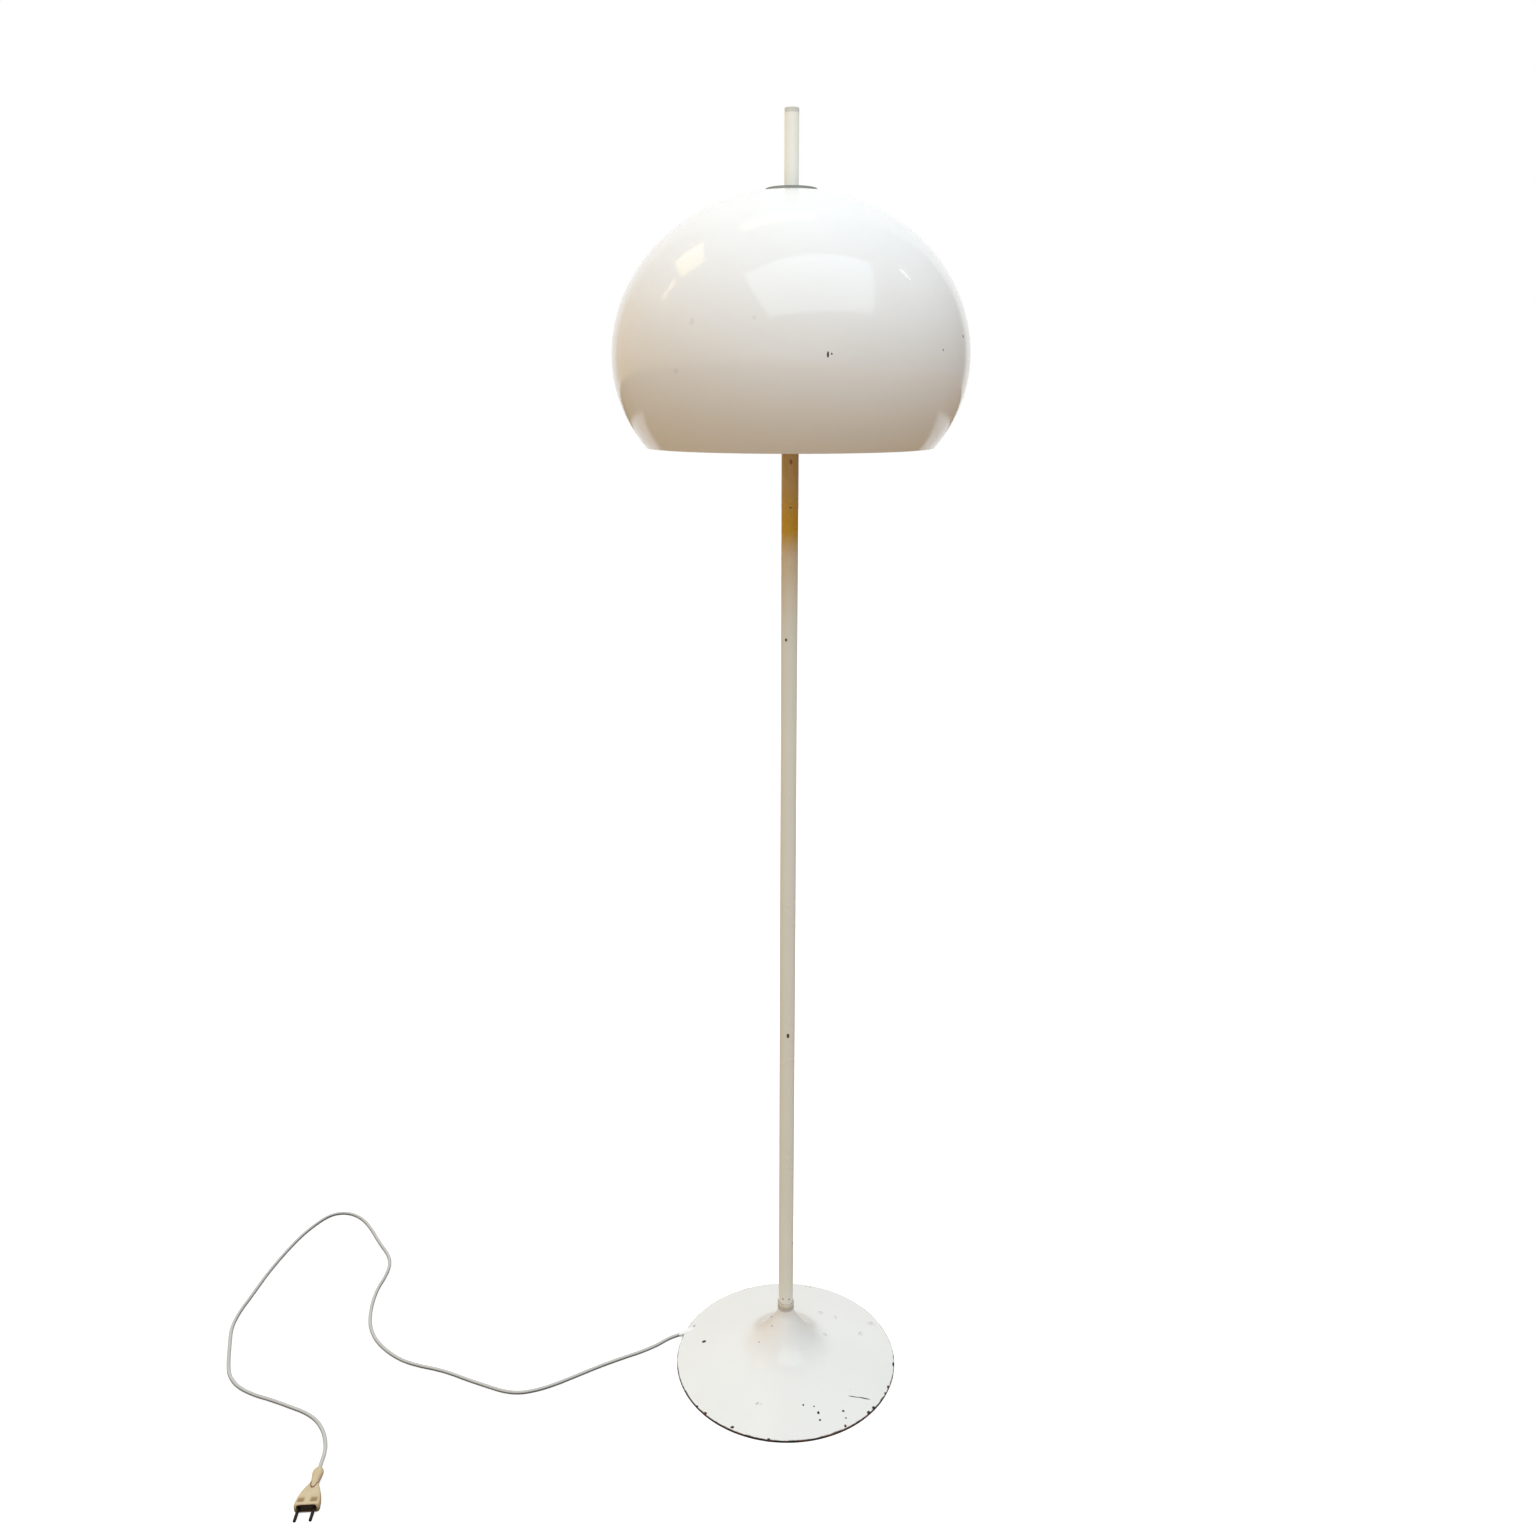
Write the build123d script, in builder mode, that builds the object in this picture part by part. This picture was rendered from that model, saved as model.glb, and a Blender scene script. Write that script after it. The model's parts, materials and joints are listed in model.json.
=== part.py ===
"""Mushroom floor lamp: trumpet base, telescopic pole, opal dome shade over three lampholders.

Millimetres, +Z up. The origin is the centre of the base's underside, on the floor.
The lamp stands at its lowest setting. The mains cord leaves the base to -X and lies on the floor.
"""

import os
from math import atan2, cos, degrees, pi, radians, sin, sqrt, tan

from build123d import *

# ---------------------------------------------------------------- driving dimensions

# Standing heights
TOTAL_HEIGHT = 1620.0
POLE_RAISE = 250.0          # how far the upper tube pulls out of the lower one

# Base
BASE_RADIUS = 155.0
FOOT_RING_HEIGHT = 1.2
BASE_EDGE_TOP = 3.9
BASE_SHEET = 1.5
NECK_RADIUS = 11.5
NECK_TOP = 91.0
FLARE_TOP = 87.0            # where the straight neck starts to flare
FLARE_KNEE = (14.5, 75.4)   # radius and height where the tight bend under the neck ends
FLARE_SLOPE = (40.0, 43.0)  # where the long slope ends
FLARE_FOOT = (71.5, 26.3)   # where the flare meets the gentle dome of the disc
WEIGHT_RADIUS = 120.0
WEIGHT_BOTTOM = 3.0
WEIGHT_TOP = 11.5
BOSS_RADIUS = 30.0
BOSS_TOP = 34.0
RECESS_RADIUS = 17.0
RECESS_TOP = 22.0

# Tubes
LOWER_TUBE_RADIUS = 10.0
UPPER_TUBE_RADIUS = 8.0
TUBE_WALL = 1.5
COLLAR_HEIGHT = 7.0
LOWER_TUBE_TOP = 1358.0
UPPER_TUBE_BOTTOM = 950.0
END_PLUG_HEIGHT = 5.0

# Shade
SHADE_RADIUS = 201.5
SHADE_WAIST = 1362.0        # height of the widest ring
CROWN_RISE = 176.8          # upper half's semi-axis
SKIRT_DROP = 168.0          # lower half's semi-axis
RIM_HEIGHT = 1265.4
SHADE_WALL = 2.5
CROWN_LAND = 1536.5         # flat land round the crown's hole
CROWN_HOLE_RADIUS = 15.5

# Lampholders and bulbs
HOLDER_COUNT = 3
HOLDER_AZIMUTH = 90.0
HOLDER_Z = 1427.0
DRUM_RADIUS = 34.0
DRUM_BOTTOM = 1402.0
DRUM_TOP = 1452.0
SLEEVE_RADIUS = 12.0
SLEEVE_BOTTOM = 1387.0
BULB_RADIUS = 28.0
BULB_TIP = 149.0            # distance of the bulb's tip from the pole's axis

# Mains cord and plug
CORD_RADIUS = 2.5
CORD_Z = 2.6                # cord's middle where it lies on the floor
EXIT_RUN = 14.4             # straight run of cord at the grommet
ENTRY_RUN = 14.2            # straight run of cord at the plug
PLUG_Z = 6.9                # height of the plug's middle line
PLUG_HEADING = -85.0        # degrees from +X, the way the pins point
PLUG_LENGTH = 60.5
PLUG_WIDTH = 31.0
PLUG_HEIGHT = 13.7
PIN_RADIUS = 2.0
PIN_LENGTH = 19.0
PIN_SPACING = 19.0

# Fits
SLIDING = 0.05              # radial clearance of a running or sliding fit
SCREWED = 0.05              # radial clearance drawn between a thread and its hole
LOOSE = 0.2                 # clearance of a washer, a hole or a shoulder
CLEAR = 0.3                 # radial clearance where parts pass freely
OVERRUN = 1.0               # how far a cut runs on past the surface it opens

# ---------------------------------------------------------------- derived places

LOWER_BORE = LOWER_TUBE_RADIUS - TUBE_WALL
UPPER_BORE = UPPER_TUBE_RADIUS - TUBE_WALL
LOWER_TUBE_BOTTOM = NECK_TOP + COLLAR_HEIGHT
UPPER_TUBE_TOP = TOTAL_HEIGHT - END_PLUG_HEIGHT

# Hollow threaded rod that ties weight, neck, collar and pole together
ROD_RADIUS = 5.0
ROD_BORE = 3.5
ROD_BOTTOM = 12.0
ROD_TOP = LOWER_TUBE_BOTTOM + 18.0

# Cord leaving the base through a notch in the rim
EXIT_POINT = Vector(-147.6, 45.6, CORD_Z)
EXIT_HEADING = 206.0
EXIT_DIRECTION = Vector(cos(radians(EXIT_HEADING)), sin(radians(EXIT_HEADING)), 0)
GROMMET_INSIDE = 14.0
GROMMET_OUTSIDE = 10.0
CORD_START = EXIT_POINT + EXIT_DIRECTION * GROMMET_OUTSIDE
GROMMET_START = EXIT_POINT - EXIT_DIRECTION * GROMMET_INSIDE
LEAD_CORNER_INSIDE = 12.0
LEAD_CORNER = GROMMET_START - EXIT_DIRECTION * LEAD_CORNER_INSIDE
CHANNEL_GAP = 0.1
LEAD_Z = WEIGHT_BOTTOM + CORD_RADIUS + CHANNEL_GAP     # cord's middle in the weight's channel
CHANNEL_HEADING = degrees(atan2(LEAD_CORNER.Y, LEAD_CORNER.X))
CHANNEL_WIDTH = 7.0
LEAD_SPLIT = UPPER_TUBE_BOTTOM - 20.0          # where the two leads meet inside the pole
LEAD_SPLIT_GAP = 0.3

# Plug
PLUG_DIRECTION = Vector(cos(radians(PLUG_HEADING)), sin(radians(PLUG_HEADING)), 0)
PLUG_FACE_CENTRE = Vector(-589.4, -273.8, PLUG_Z)
PLUG_ENTRY = PLUG_FACE_CENTRE - PLUG_DIRECTION * PLUG_LENGTH

# Swivelling clamp collar on top of the lower tube
CLAMP_RADIUS = 15.0
CLAMP_BOTTOM = LOWER_TUBE_TOP - 18.0
CLAMP_TOP = LOWER_TUBE_TOP + 26.0
LINER_RADIUS = 9.0
CLAMP_SCREW_Z = LOWER_TUBE_TOP + 13.0
GROOVE_Z = LOWER_TUBE_TOP - 10.0
GROOVE_WIDTH = 4.0
GROOVE_DEPTH = 0.6

# Crown stack, from the shade's land outwards
SHADE_INNER_LAND = CROWN_LAND - SHADE_WALL
WASHER_THICKNESS = 1.0
SEAT_THICKNESS = 1.8
SEAT_RADIUS = 34.0
WASHER_RADIUS = 30.0
CAP_RADIUS = 28.5
CAP_WASHER_THICKNESS = 0.6
CAP_UNDERSIDE = CROWN_LAND + CAP_WASHER_THICKNESS

pieces = {}


def ring(outer, inner, bottom, top):
    """A plain ring about the pole's axis, added to the part being built."""
    with BuildSketch(Plane.XY.offset(bottom)) as profile:
        Circle(outer)
        Circle(inner, mode=Mode.SUBTRACT)
    extrude(profile.sketch, amount=top - bottom)


def hex_nut(across_flats, bore, bottom, height):
    """A chamfered hexagon nut about the pole's axis."""
    with BuildSketch(Plane.XY.offset(bottom)) as profile:
        RegularPolygon(across_flats / 2, 6, major_radius=False)
        Circle(bore, mode=Mode.SUBTRACT)
    extrude(profile.sketch, amount=height)


# ---------------------------------------------------------------- base

# Trumpet cover: spun sheet with a heavy rolled edge, its neck closed by a thick top
edge_height = BASE_EDGE_TOP
bead_width = 6.0
edge_round = 1.2
edge_facet_in = 0.42        # the rolled edge's middle facet, in from the rim and down from the top
edge_facet_down = 0.36
lip_step = 0.1
neck_wall = 3.0
dome_end = (BASE_RADIUS - edge_round, edge_height)
inner_dome_end = (BASE_RADIUS - bead_width, edge_height - lip_step)
notch_start = 19.6          # how far inside the exit point the notch begins
notch_width = 8.2
notch_top = 6.8
notch_length = 44.0
with BuildPart() as base_cover:
    with BuildSketch(Plane.XZ):
        with BuildLine():
            neck = Polyline(
                (ROD_RADIUS + SCREWED, NECK_TOP),
                (NECK_RADIUS, NECK_TOP),
                (NECK_RADIUS, FLARE_TOP),
            )
            knee = TangentArc(neck @ 1, FLARE_KNEE, tangent=(0, -1))
            slope = TangentArc(knee @ 1, FLARE_SLOPE, tangent=knee % 1)
            foot = TangentArc(slope @ 1, FLARE_FOOT, tangent=slope % 1)
            disc = TangentArc(foot @ 1, dome_end, tangent=foot % 1)
            Polyline(
                disc @ 1,
                (BASE_RADIUS - edge_facet_in, edge_height - edge_facet_down),
                (BASE_RADIUS, edge_height - edge_round),
                (BASE_RADIUS, FOOT_RING_HEIGHT),
                (BASE_RADIUS - bead_width, FOOT_RING_HEIGHT),
                inner_dome_end,
            )
            # the inside follows the outside at the sheet's thickness
            inner_neck = (NECK_RADIUS - BASE_SHEET, FLARE_TOP)
            start, heading = Vector(*inner_neck), Vector(0, -1)
            for outside in (knee, slope, foot):
                run = outside % 1
                end = outside @ 1 + Vector(run.Y, -run.X) * BASE_SHEET
                inside_arc = TangentArc(start, end, tangent=heading)
                start, heading = inside_arc @ 1, inside_arc % 1
            TangentArc(start, inner_dome_end, tangent=heading)
            Polyline(
                inner_neck,
                (NECK_RADIUS - BASE_SHEET, NECK_TOP - neck_wall),
                (ROD_RADIUS + SCREWED, NECK_TOP - neck_wall),
                (ROD_RADIUS + SCREWED, NECK_TOP),
            )
        make_face()
    revolve(axis=Axis.Z)
    notch_plane = Plane(
        origin=EXIT_POINT - EXIT_DIRECTION * notch_start,
        x_dir=EXIT_DIRECTION,
        z_dir=(0, 0, 1),
    )
    with BuildSketch(notch_plane.offset(-CORD_Z)):
        Rectangle(notch_length, notch_width, align=(Align.MIN, Align.CENTER))
    extrude(amount=notch_top, mode=Mode.SUBTRACT)
pieces["base_cover"] = base_cover

# Rubber ring under the rolled edge, open at the cord's notch
foot_outer = BASE_RADIUS - 0.4
foot_inner = BASE_RADIUS - bead_width + 0.5
with BuildPart() as foot_ring:
    ring(foot_outer, foot_inner, 0, FOOT_RING_HEIGHT)
    with BuildSketch(notch_plane.offset(-CORD_Z)):
        Rectangle(notch_length, notch_width, align=(Align.MIN, Align.CENTER))
    extrude(amount=notch_top, mode=Mode.SUBTRACT)
pieces["foot_ring"] = foot_ring

# Cast weight with a boss, a recess for the nut and a channel for the cord
channel_plane = Plane(
    origin=(0, 0, WEIGHT_BOTTOM),
    x_dir=(cos(radians(CHANNEL_HEADING)), sin(radians(CHANNEL_HEADING)), 0),
    z_dir=(0, 0, 1),
)
clamp_distance = 92.0       # cord clamp's distance from the axis
clamp_screw_spread = 8.5
clamp_thread_radius = 1.5
clamp_thread_depth = 6.0
boss_foot_radius = BOSS_RADIUS + 6.0
weight_bevel_width = 4.0
weight_bevel_drop = 2.0
channel_reach = WEIGHT_RADIUS + 5.0
channel_depth = 2 * CORD_RADIUS + 0.6
with BuildPart() as base_weight:
    with BuildSketch(Plane.XZ):
        with BuildLine():
            Polyline(
                (ROD_RADIUS + SCREWED, BOSS_TOP),
                (BOSS_RADIUS, BOSS_TOP),
                (boss_foot_radius, WEIGHT_TOP),
                (WEIGHT_RADIUS - weight_bevel_width, WEIGHT_TOP),
                (WEIGHT_RADIUS, WEIGHT_TOP - weight_bevel_drop),
                (WEIGHT_RADIUS, WEIGHT_BOTTOM),
                (RECESS_RADIUS, WEIGHT_BOTTOM),
                (RECESS_RADIUS, RECESS_TOP),
                (ROD_RADIUS + SCREWED, RECESS_TOP),
                close=True,
            )
        make_face()
    revolve(axis=Axis.Z)
    with BuildSketch(channel_plane):
        Rectangle(channel_reach, CHANNEL_WIDTH, align=(Align.MIN, Align.CENTER))
    extrude(amount=channel_depth, mode=Mode.SUBTRACT)
    with BuildSketch(channel_plane):
        with Locations((clamp_distance, 0)):
            with GridLocations(0, 2 * clamp_screw_spread, 1, 2):
                Circle(clamp_thread_radius + SCREWED)
    extrude(amount=clamp_thread_depth, mode=Mode.SUBTRACT)
pieces["base_weight"] = base_weight

washer_thickness = 1.5
washer_radius = 11.0
with BuildPart() as base_washer:
    ring(washer_radius, ROD_RADIUS + LOOSE, RECESS_TOP - washer_thickness, RECESS_TOP)
pieces["base_washer"] = base_washer

base_nut_height = 7.0
base_nut_flats = 17.0
base_nut_bottom = RECESS_TOP - washer_thickness - base_nut_height
with BuildPart() as base_nut:
    hex_nut(base_nut_flats, ROD_RADIUS + SCREWED, base_nut_bottom, base_nut_height)
pieces["base_nut"] = base_nut

rod_chamfer = 0.6
with BuildPart() as tie_rod:
    ring(ROD_RADIUS, ROD_BORE, ROD_BOTTOM, ROD_TOP)
    chamfer(tie_rod.edges().group_by(Axis.Z)[-1].sort_by(SortBy.RADIUS)[-1], rod_chamfer)
pieces["tie_rod"] = tie_rod

# Turned ring between the neck and the tube, with a narrow shadow step below
step_radius = LOWER_TUBE_RADIUS + 0.3
step_top = NECK_TOP + 1.4
collar_shoulder = LOWER_TUBE_BOTTOM - 1.2
collar_face_radius = LOWER_TUBE_RADIUS - 0.2
with BuildPart() as neck_collar:
    with BuildSketch(Plane.XZ):
        with BuildLine():
            Polyline(
                (ROD_RADIUS + SCREWED, NECK_TOP),
                (step_radius, NECK_TOP),
                (step_radius, step_top),
                (NECK_RADIUS, step_top),
                (NECK_RADIUS, collar_shoulder),
                (collar_face_radius, LOWER_TUBE_BOTTOM),
                (ROD_RADIUS + SCREWED, LOWER_TUBE_BOTTOM),
                close=True,
            )
        make_face()
    revolve(axis=Axis.Z)
pieces["neck_collar"] = neck_collar

# ---------------------------------------------------------------- pole

foot_plug_top = LOWER_TUBE_BOTTOM + 22.0
with BuildPart() as tube_foot_plug:
    ring(LOWER_BORE - SLIDING, ROD_RADIUS + SCREWED, LOWER_TUBE_BOTTOM, foot_plug_top)
pieces["tube_foot_plug"] = tube_foot_plug

with BuildPart() as lower_tube:
    ring(LOWER_TUBE_RADIUS, LOWER_BORE, LOWER_TUBE_BOTTOM, LOWER_TUBE_TOP)
    with BuildSketch(Plane.XY.offset(GROOVE_Z - GROOVE_WIDTH / 2)):
        Circle(LOWER_TUBE_RADIUS + OVERRUN)
        Circle(LOWER_TUBE_RADIUS - GROOVE_DEPTH, mode=Mode.SUBTRACT)
    extrude(amount=GROOVE_WIDTH, mode=Mode.SUBTRACT)
pieces["lower_tube"] = lower_tube

# Collar: sits on the lower tube's end, turns on it, and carries the clamp screw
clamp_screw_radius = 2.5
clamp_boss_radius = 6.0
clamp_boss_end = 20.0
clamp_boss_start = LINER_RADIUS + 2.0
grub_radius = 2.0
collar_foot_chamfer = 1.0
collar_head_chamfer = 1.5
liner_lip = 2.0
collar_seat = LOWER_TUBE_TOP + 0.5
screw_plane = Plane(origin=(0, 0, CLAMP_SCREW_Z), x_dir=(1, 0, 0), z_dir=(0, -1, 0))
groove_plane = Plane(origin=(0, 0, GROOVE_Z), x_dir=(1, 0, 0), z_dir=(0, 1, 0))
with BuildPart() as clamp_collar:
    with BuildSketch(Plane.XZ):
        with BuildLine():
            Polyline(
                (LOWER_TUBE_RADIUS + SLIDING, CLAMP_BOTTOM),
                (CLAMP_RADIUS - collar_foot_chamfer, CLAMP_BOTTOM),
                (CLAMP_RADIUS, CLAMP_BOTTOM + collar_foot_chamfer),
                (CLAMP_RADIUS, CLAMP_TOP - collar_head_chamfer),
                (CLAMP_RADIUS - collar_head_chamfer, CLAMP_TOP),
                (UPPER_TUBE_RADIUS + CLEAR, CLAMP_TOP),
                (UPPER_TUBE_RADIUS + CLEAR, CLAMP_TOP - liner_lip),
                (LINER_RADIUS, CLAMP_TOP - liner_lip),
                (LINER_RADIUS, collar_seat),
                (LOWER_TUBE_RADIUS + SLIDING, collar_seat),
                close=True,
            )
        make_face()
    revolve(axis=Axis.Z)
    with BuildSketch(screw_plane.offset(clamp_boss_start)):
        Circle(clamp_boss_radius)
    extrude(amount=clamp_boss_end - clamp_boss_start)
    with BuildSketch(screw_plane):
        Circle(clamp_screw_radius + SLIDING)
    extrude(amount=clamp_boss_end + OVERRUN, mode=Mode.SUBTRACT)
    with BuildSketch(groove_plane):
        Circle(grub_radius + SCREWED)
    extrude(amount=CLAMP_RADIUS + OVERRUN, mode=Mode.SUBTRACT)
pieces["clamp_collar"] = clamp_collar

# Split nylon liner between the clamp screw and the upper tube
liner_bottom = collar_seat + LOOSE
liner_top = CLAMP_TOP - liner_lip - LOOSE
slit_width = 1.6
slit_start = 2.0
with BuildPart() as collar_liner:
    ring(LINER_RADIUS - SLIDING, UPPER_TUBE_RADIUS + SLIDING, liner_bottom, liner_top)
    with BuildSketch(groove_plane.offset(slit_start)):
        with Locations((0, CLAMP_SCREW_Z - GROOVE_Z)):
            Rectangle(slit_width, CLAMP_TOP - LOWER_TUBE_TOP)
    extrude(amount=LINER_RADIUS, mode=Mode.SUBTRACT)
pieces["collar_liner"] = collar_liner

# Grub screw whose tip runs in the lower tube's groove and keeps the collar on
grub_tip_radius = 1.5
grub_tip_length = 1.5
grub_shoulder = LOWER_TUBE_RADIUS + 0.6
grub_head = CLAMP_RADIUS - 0.2
driver_slot = (3.0, 0.6)
driver_slot_depth = 1.0
with BuildPart() as collar_grub_screw:
    with BuildSketch(groove_plane.offset(LOWER_TUBE_RADIUS - CLEAR)):
        Circle(grub_tip_radius)
    extrude(amount=grub_tip_length)
    with BuildSketch(groove_plane.offset(grub_shoulder)):
        Circle(grub_radius)
    extrude(amount=grub_head - grub_shoulder)
    with BuildSketch(groove_plane.offset(grub_head)):
        Rectangle(*driver_slot)
    extrude(amount=-driver_slot_depth, mode=Mode.SUBTRACT)
pieces["collar_grub_screw"] = collar_grub_screw

# Knurled clamp screw
knob_radius = 9.0
knob_start = clamp_boss_end + 2.0
knob_end = knob_start + 9.0
knurl_count = 24
knurl_radius = 0.7
knurl_circle = knob_radius + 0.25
knob_chamfer = 0.8
with BuildPart() as clamp_screw:
    with BuildSketch(screw_plane.offset(LINER_RADIUS)):
        Circle(clamp_screw_radius)
    extrude(amount=knob_start - LINER_RADIUS + OVERRUN)
    with BuildSketch(screw_plane.offset(knob_start)):
        Circle(knob_radius)
    extrude(amount=knob_end - knob_start)
    chamfer(clamp_screw.edges().filter_by(GeomType.CIRCLE).group_by(Axis.Y)[0], knob_chamfer)
    with BuildSketch(screw_plane.offset(knob_start)):
        with PolarLocations(knurl_circle, knurl_count):
            Circle(knurl_radius)
    extrude(amount=knob_end - knob_start, mode=Mode.SUBTRACT)
pieces["clamp_screw"] = clamp_screw

# Upper tube with a side hole where the lead comes out into the drum
exit_hole_radius = 3.3
lead_exit_z = 1436.0
lead_exit_plane = Plane(origin=(0, 0, lead_exit_z), x_dir=(0, 1, 0), z_dir=(-1, 0, 0))
with BuildPart() as upper_tube:
    ring(UPPER_TUBE_RADIUS, UPPER_BORE, UPPER_TUBE_BOTTOM, UPPER_TUBE_TOP)
    with BuildSketch(lead_exit_plane):
        Circle(exit_hole_radius)
    extrude(amount=UPPER_TUBE_RADIUS + OVERRUN, mode=Mode.SUBTRACT)
pieces["upper_tube"] = upper_tube

# Nylon ferrule that guides the upper tube's foot inside the lower tube
bush_radius = LOWER_BORE - 0.08
bush_bore = CORD_RADIUS + 0.7
bush_bottom = UPPER_TUBE_BOTTOM - 12.0
bush_top = UPPER_TUBE_BOTTOM + 16.0
bush_chamfer = 1.0
with BuildPart() as slide_bush:
    ring(bush_radius, bush_bore, bush_bottom, UPPER_TUBE_BOTTOM)
    ring(UPPER_BORE - SLIDING, bush_bore, UPPER_TUBE_BOTTOM, bush_top)
    chamfer(slide_bush.edges().group_by(Axis.Z)[0].sort_by(SortBy.RADIUS)[-1], bush_chamfer)
pieces["slide_bush"] = slide_bush

# Ribbed plug in the open top of the upper tube
rib_count = 16
rib_gap_radius = 0.5
rib_circle = UPPER_TUBE_RADIUS + 0.15
rib_bottom = UPPER_TUBE_TOP + 0.8
end_plug_bore = 4.5
end_plug_bottom = UPPER_TUBE_TOP - 12.0
end_plug_fillet = 0.8
with BuildPart() as tube_end_plug:
    ring(UPPER_BORE - SLIDING, end_plug_bore, end_plug_bottom, UPPER_TUBE_TOP)
    with BuildSketch(Plane.XY.offset(UPPER_TUBE_TOP)):
        Circle(UPPER_TUBE_RADIUS)
    extrude(amount=END_PLUG_HEIGHT)
    fillet(tube_end_plug.edges().group_by(Axis.Z)[-1], end_plug_fillet)
    with BuildSketch(Plane.XY.offset(rib_bottom)):
        with PolarLocations(rib_circle, rib_count):
            Circle(rib_gap_radius)
    extrude(amount=END_PLUG_HEIGHT, mode=Mode.SUBTRACT)
pieces["tube_end_plug"] = tube_end_plug

# ---------------------------------------------------------------- crown stack

# Threaded sleeve fixed on the upper tube, which carries the shade and the drum
sleeve_top = CAP_UNDERSIDE - CLEAR
sleeve_grub_rise = 6.0
sleeve_grub_z = SLEEVE_BOTTOM + sleeve_grub_rise
sleeve_grub_plane = Plane(origin=(0, 0, sleeve_grub_z), x_dir=(0, 1, 0), z_dir=(1, 0, 0))
with BuildPart() as carrier_sleeve:
    ring(SLEEVE_RADIUS, UPPER_TUBE_RADIUS + SCREWED, SLEEVE_BOTTOM, sleeve_top)
    with BuildSketch(lead_exit_plane):
        Circle(exit_hole_radius)
    extrude(amount=SLEEVE_RADIUS + OVERRUN, mode=Mode.SUBTRACT)
    with BuildSketch(sleeve_grub_plane):
        Circle(grub_radius + SCREWED)
    extrude(amount=SLEEVE_RADIUS + OVERRUN, both=True, mode=Mode.SUBTRACT)
pieces["carrier_sleeve"] = carrier_sleeve

with BuildPart() as sleeve_grub_screws:
    for direction in (1, -1):
        with BuildSketch(sleeve_grub_plane.offset(direction * (UPPER_TUBE_RADIUS + SCREWED))):
            Circle(grub_radius)
        extrude(amount=direction * (SLEEVE_RADIUS - UPPER_TUBE_RADIUS))
pieces["sleeve_grub_screws"] = sleeve_grub_screws

seat_top = SHADE_INNER_LAND - WASHER_THICKNESS
seat_bottom = seat_top - SEAT_THICKNESS
nut_height = 6.0
nut_flats = 32.0
with BuildPart() as seat_nut:
    hex_nut(nut_flats, SLEEVE_RADIUS + SCREWED, seat_bottom - nut_height, nut_height)
pieces["seat_nut"] = seat_nut

seat_fillet = 0.8
with BuildPart() as shade_seat:
    ring(SEAT_RADIUS, SLEEVE_RADIUS + SCREWED, seat_bottom, seat_top)
    fillet(shade_seat.edges().group_by(Axis.Z)[0].sort_by(SortBy.RADIUS)[-1], seat_fillet)
pieces["shade_seat"] = shade_seat

washer_bore = CROWN_HOLE_RADIUS + 0.5
with BuildPart() as seat_washer:
    ring(WASHER_RADIUS, washer_bore, seat_top, SHADE_INNER_LAND)
pieces["seat_washer"] = seat_washer

# Dome shade: half ellipses above and below the waist, a flat land round the crown's hole
outer_land = SHADE_RADIUS * sqrt(1 - ((CROWN_LAND - SHADE_WAIST) / CROWN_RISE) ** 2)
inner_radius = SHADE_RADIUS - SHADE_WALL
inner_rise = CROWN_RISE - SHADE_WALL
inner_land = inner_radius * sqrt(1 - ((SHADE_INNER_LAND - SHADE_WAIST) / inner_rise) ** 2)
rim_share = (RIM_HEIGHT - SHADE_WAIST) / SKIRT_DROP
rim_angle = degrees(atan2(rim_share, sqrt(1 - rim_share**2)))
inner_rim_share = (RIM_HEIGHT - SHADE_WAIST) / (SKIRT_DROP - SHADE_WALL)
inner_rim_angle = degrees(atan2(inner_rim_share, sqrt(1 - inner_rim_share**2)))
land_share = (CROWN_LAND - SHADE_WAIST) / CROWN_RISE
land_angle = degrees(atan2(land_share, sqrt(1 - land_share**2)))
inner_land_share = (SHADE_INNER_LAND - SHADE_WAIST) / inner_rise
inner_land_angle = degrees(atan2(inner_land_share, sqrt(1 - inner_land_share**2)))
rim_fillet = 0.9
with BuildPart() as shade:
    with BuildSketch(Plane.XZ):
        with BuildLine():
            crown_out = EllipticalCenterArc(
                (0, SHADE_WAIST), SHADE_RADIUS, CROWN_RISE, 0, arc_size=land_angle
            )
            skirt_out = EllipticalCenterArc(
                (0, SHADE_WAIST), SHADE_RADIUS, SKIRT_DROP, rim_angle, arc_size=-rim_angle
            )
            crown_in = EllipticalCenterArc(
                (0, SHADE_WAIST), inner_radius, inner_rise, 0, arc_size=inner_land_angle
            )
            skirt_in = EllipticalCenterArc(
                (0, SHADE_WAIST),
                inner_radius,
                SKIRT_DROP - SHADE_WALL,
                inner_rim_angle,
                arc_size=-inner_rim_angle,
            )
            Polyline(
                crown_out @ 1,
                (CROWN_HOLE_RADIUS, CROWN_LAND),
                (CROWN_HOLE_RADIUS, SHADE_INNER_LAND),
                crown_in @ 1,
            )
            Line(skirt_out @ 0, skirt_in @ 0)
        make_face()
    revolve(axis=Axis.Z)
    fillet(shade.edges().group_by(Axis.Z)[0], rim_fillet)
pieces["shade"] = shade

cap_washer_radius = CAP_RADIUS - 3.0
with BuildPart() as cap_washer:
    ring(cap_washer_radius, CROWN_HOLE_RADIUS - LOOSE, CROWN_LAND, CAP_UNDERSIDE)
pieces["cap_washer"] = cap_washer

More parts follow.
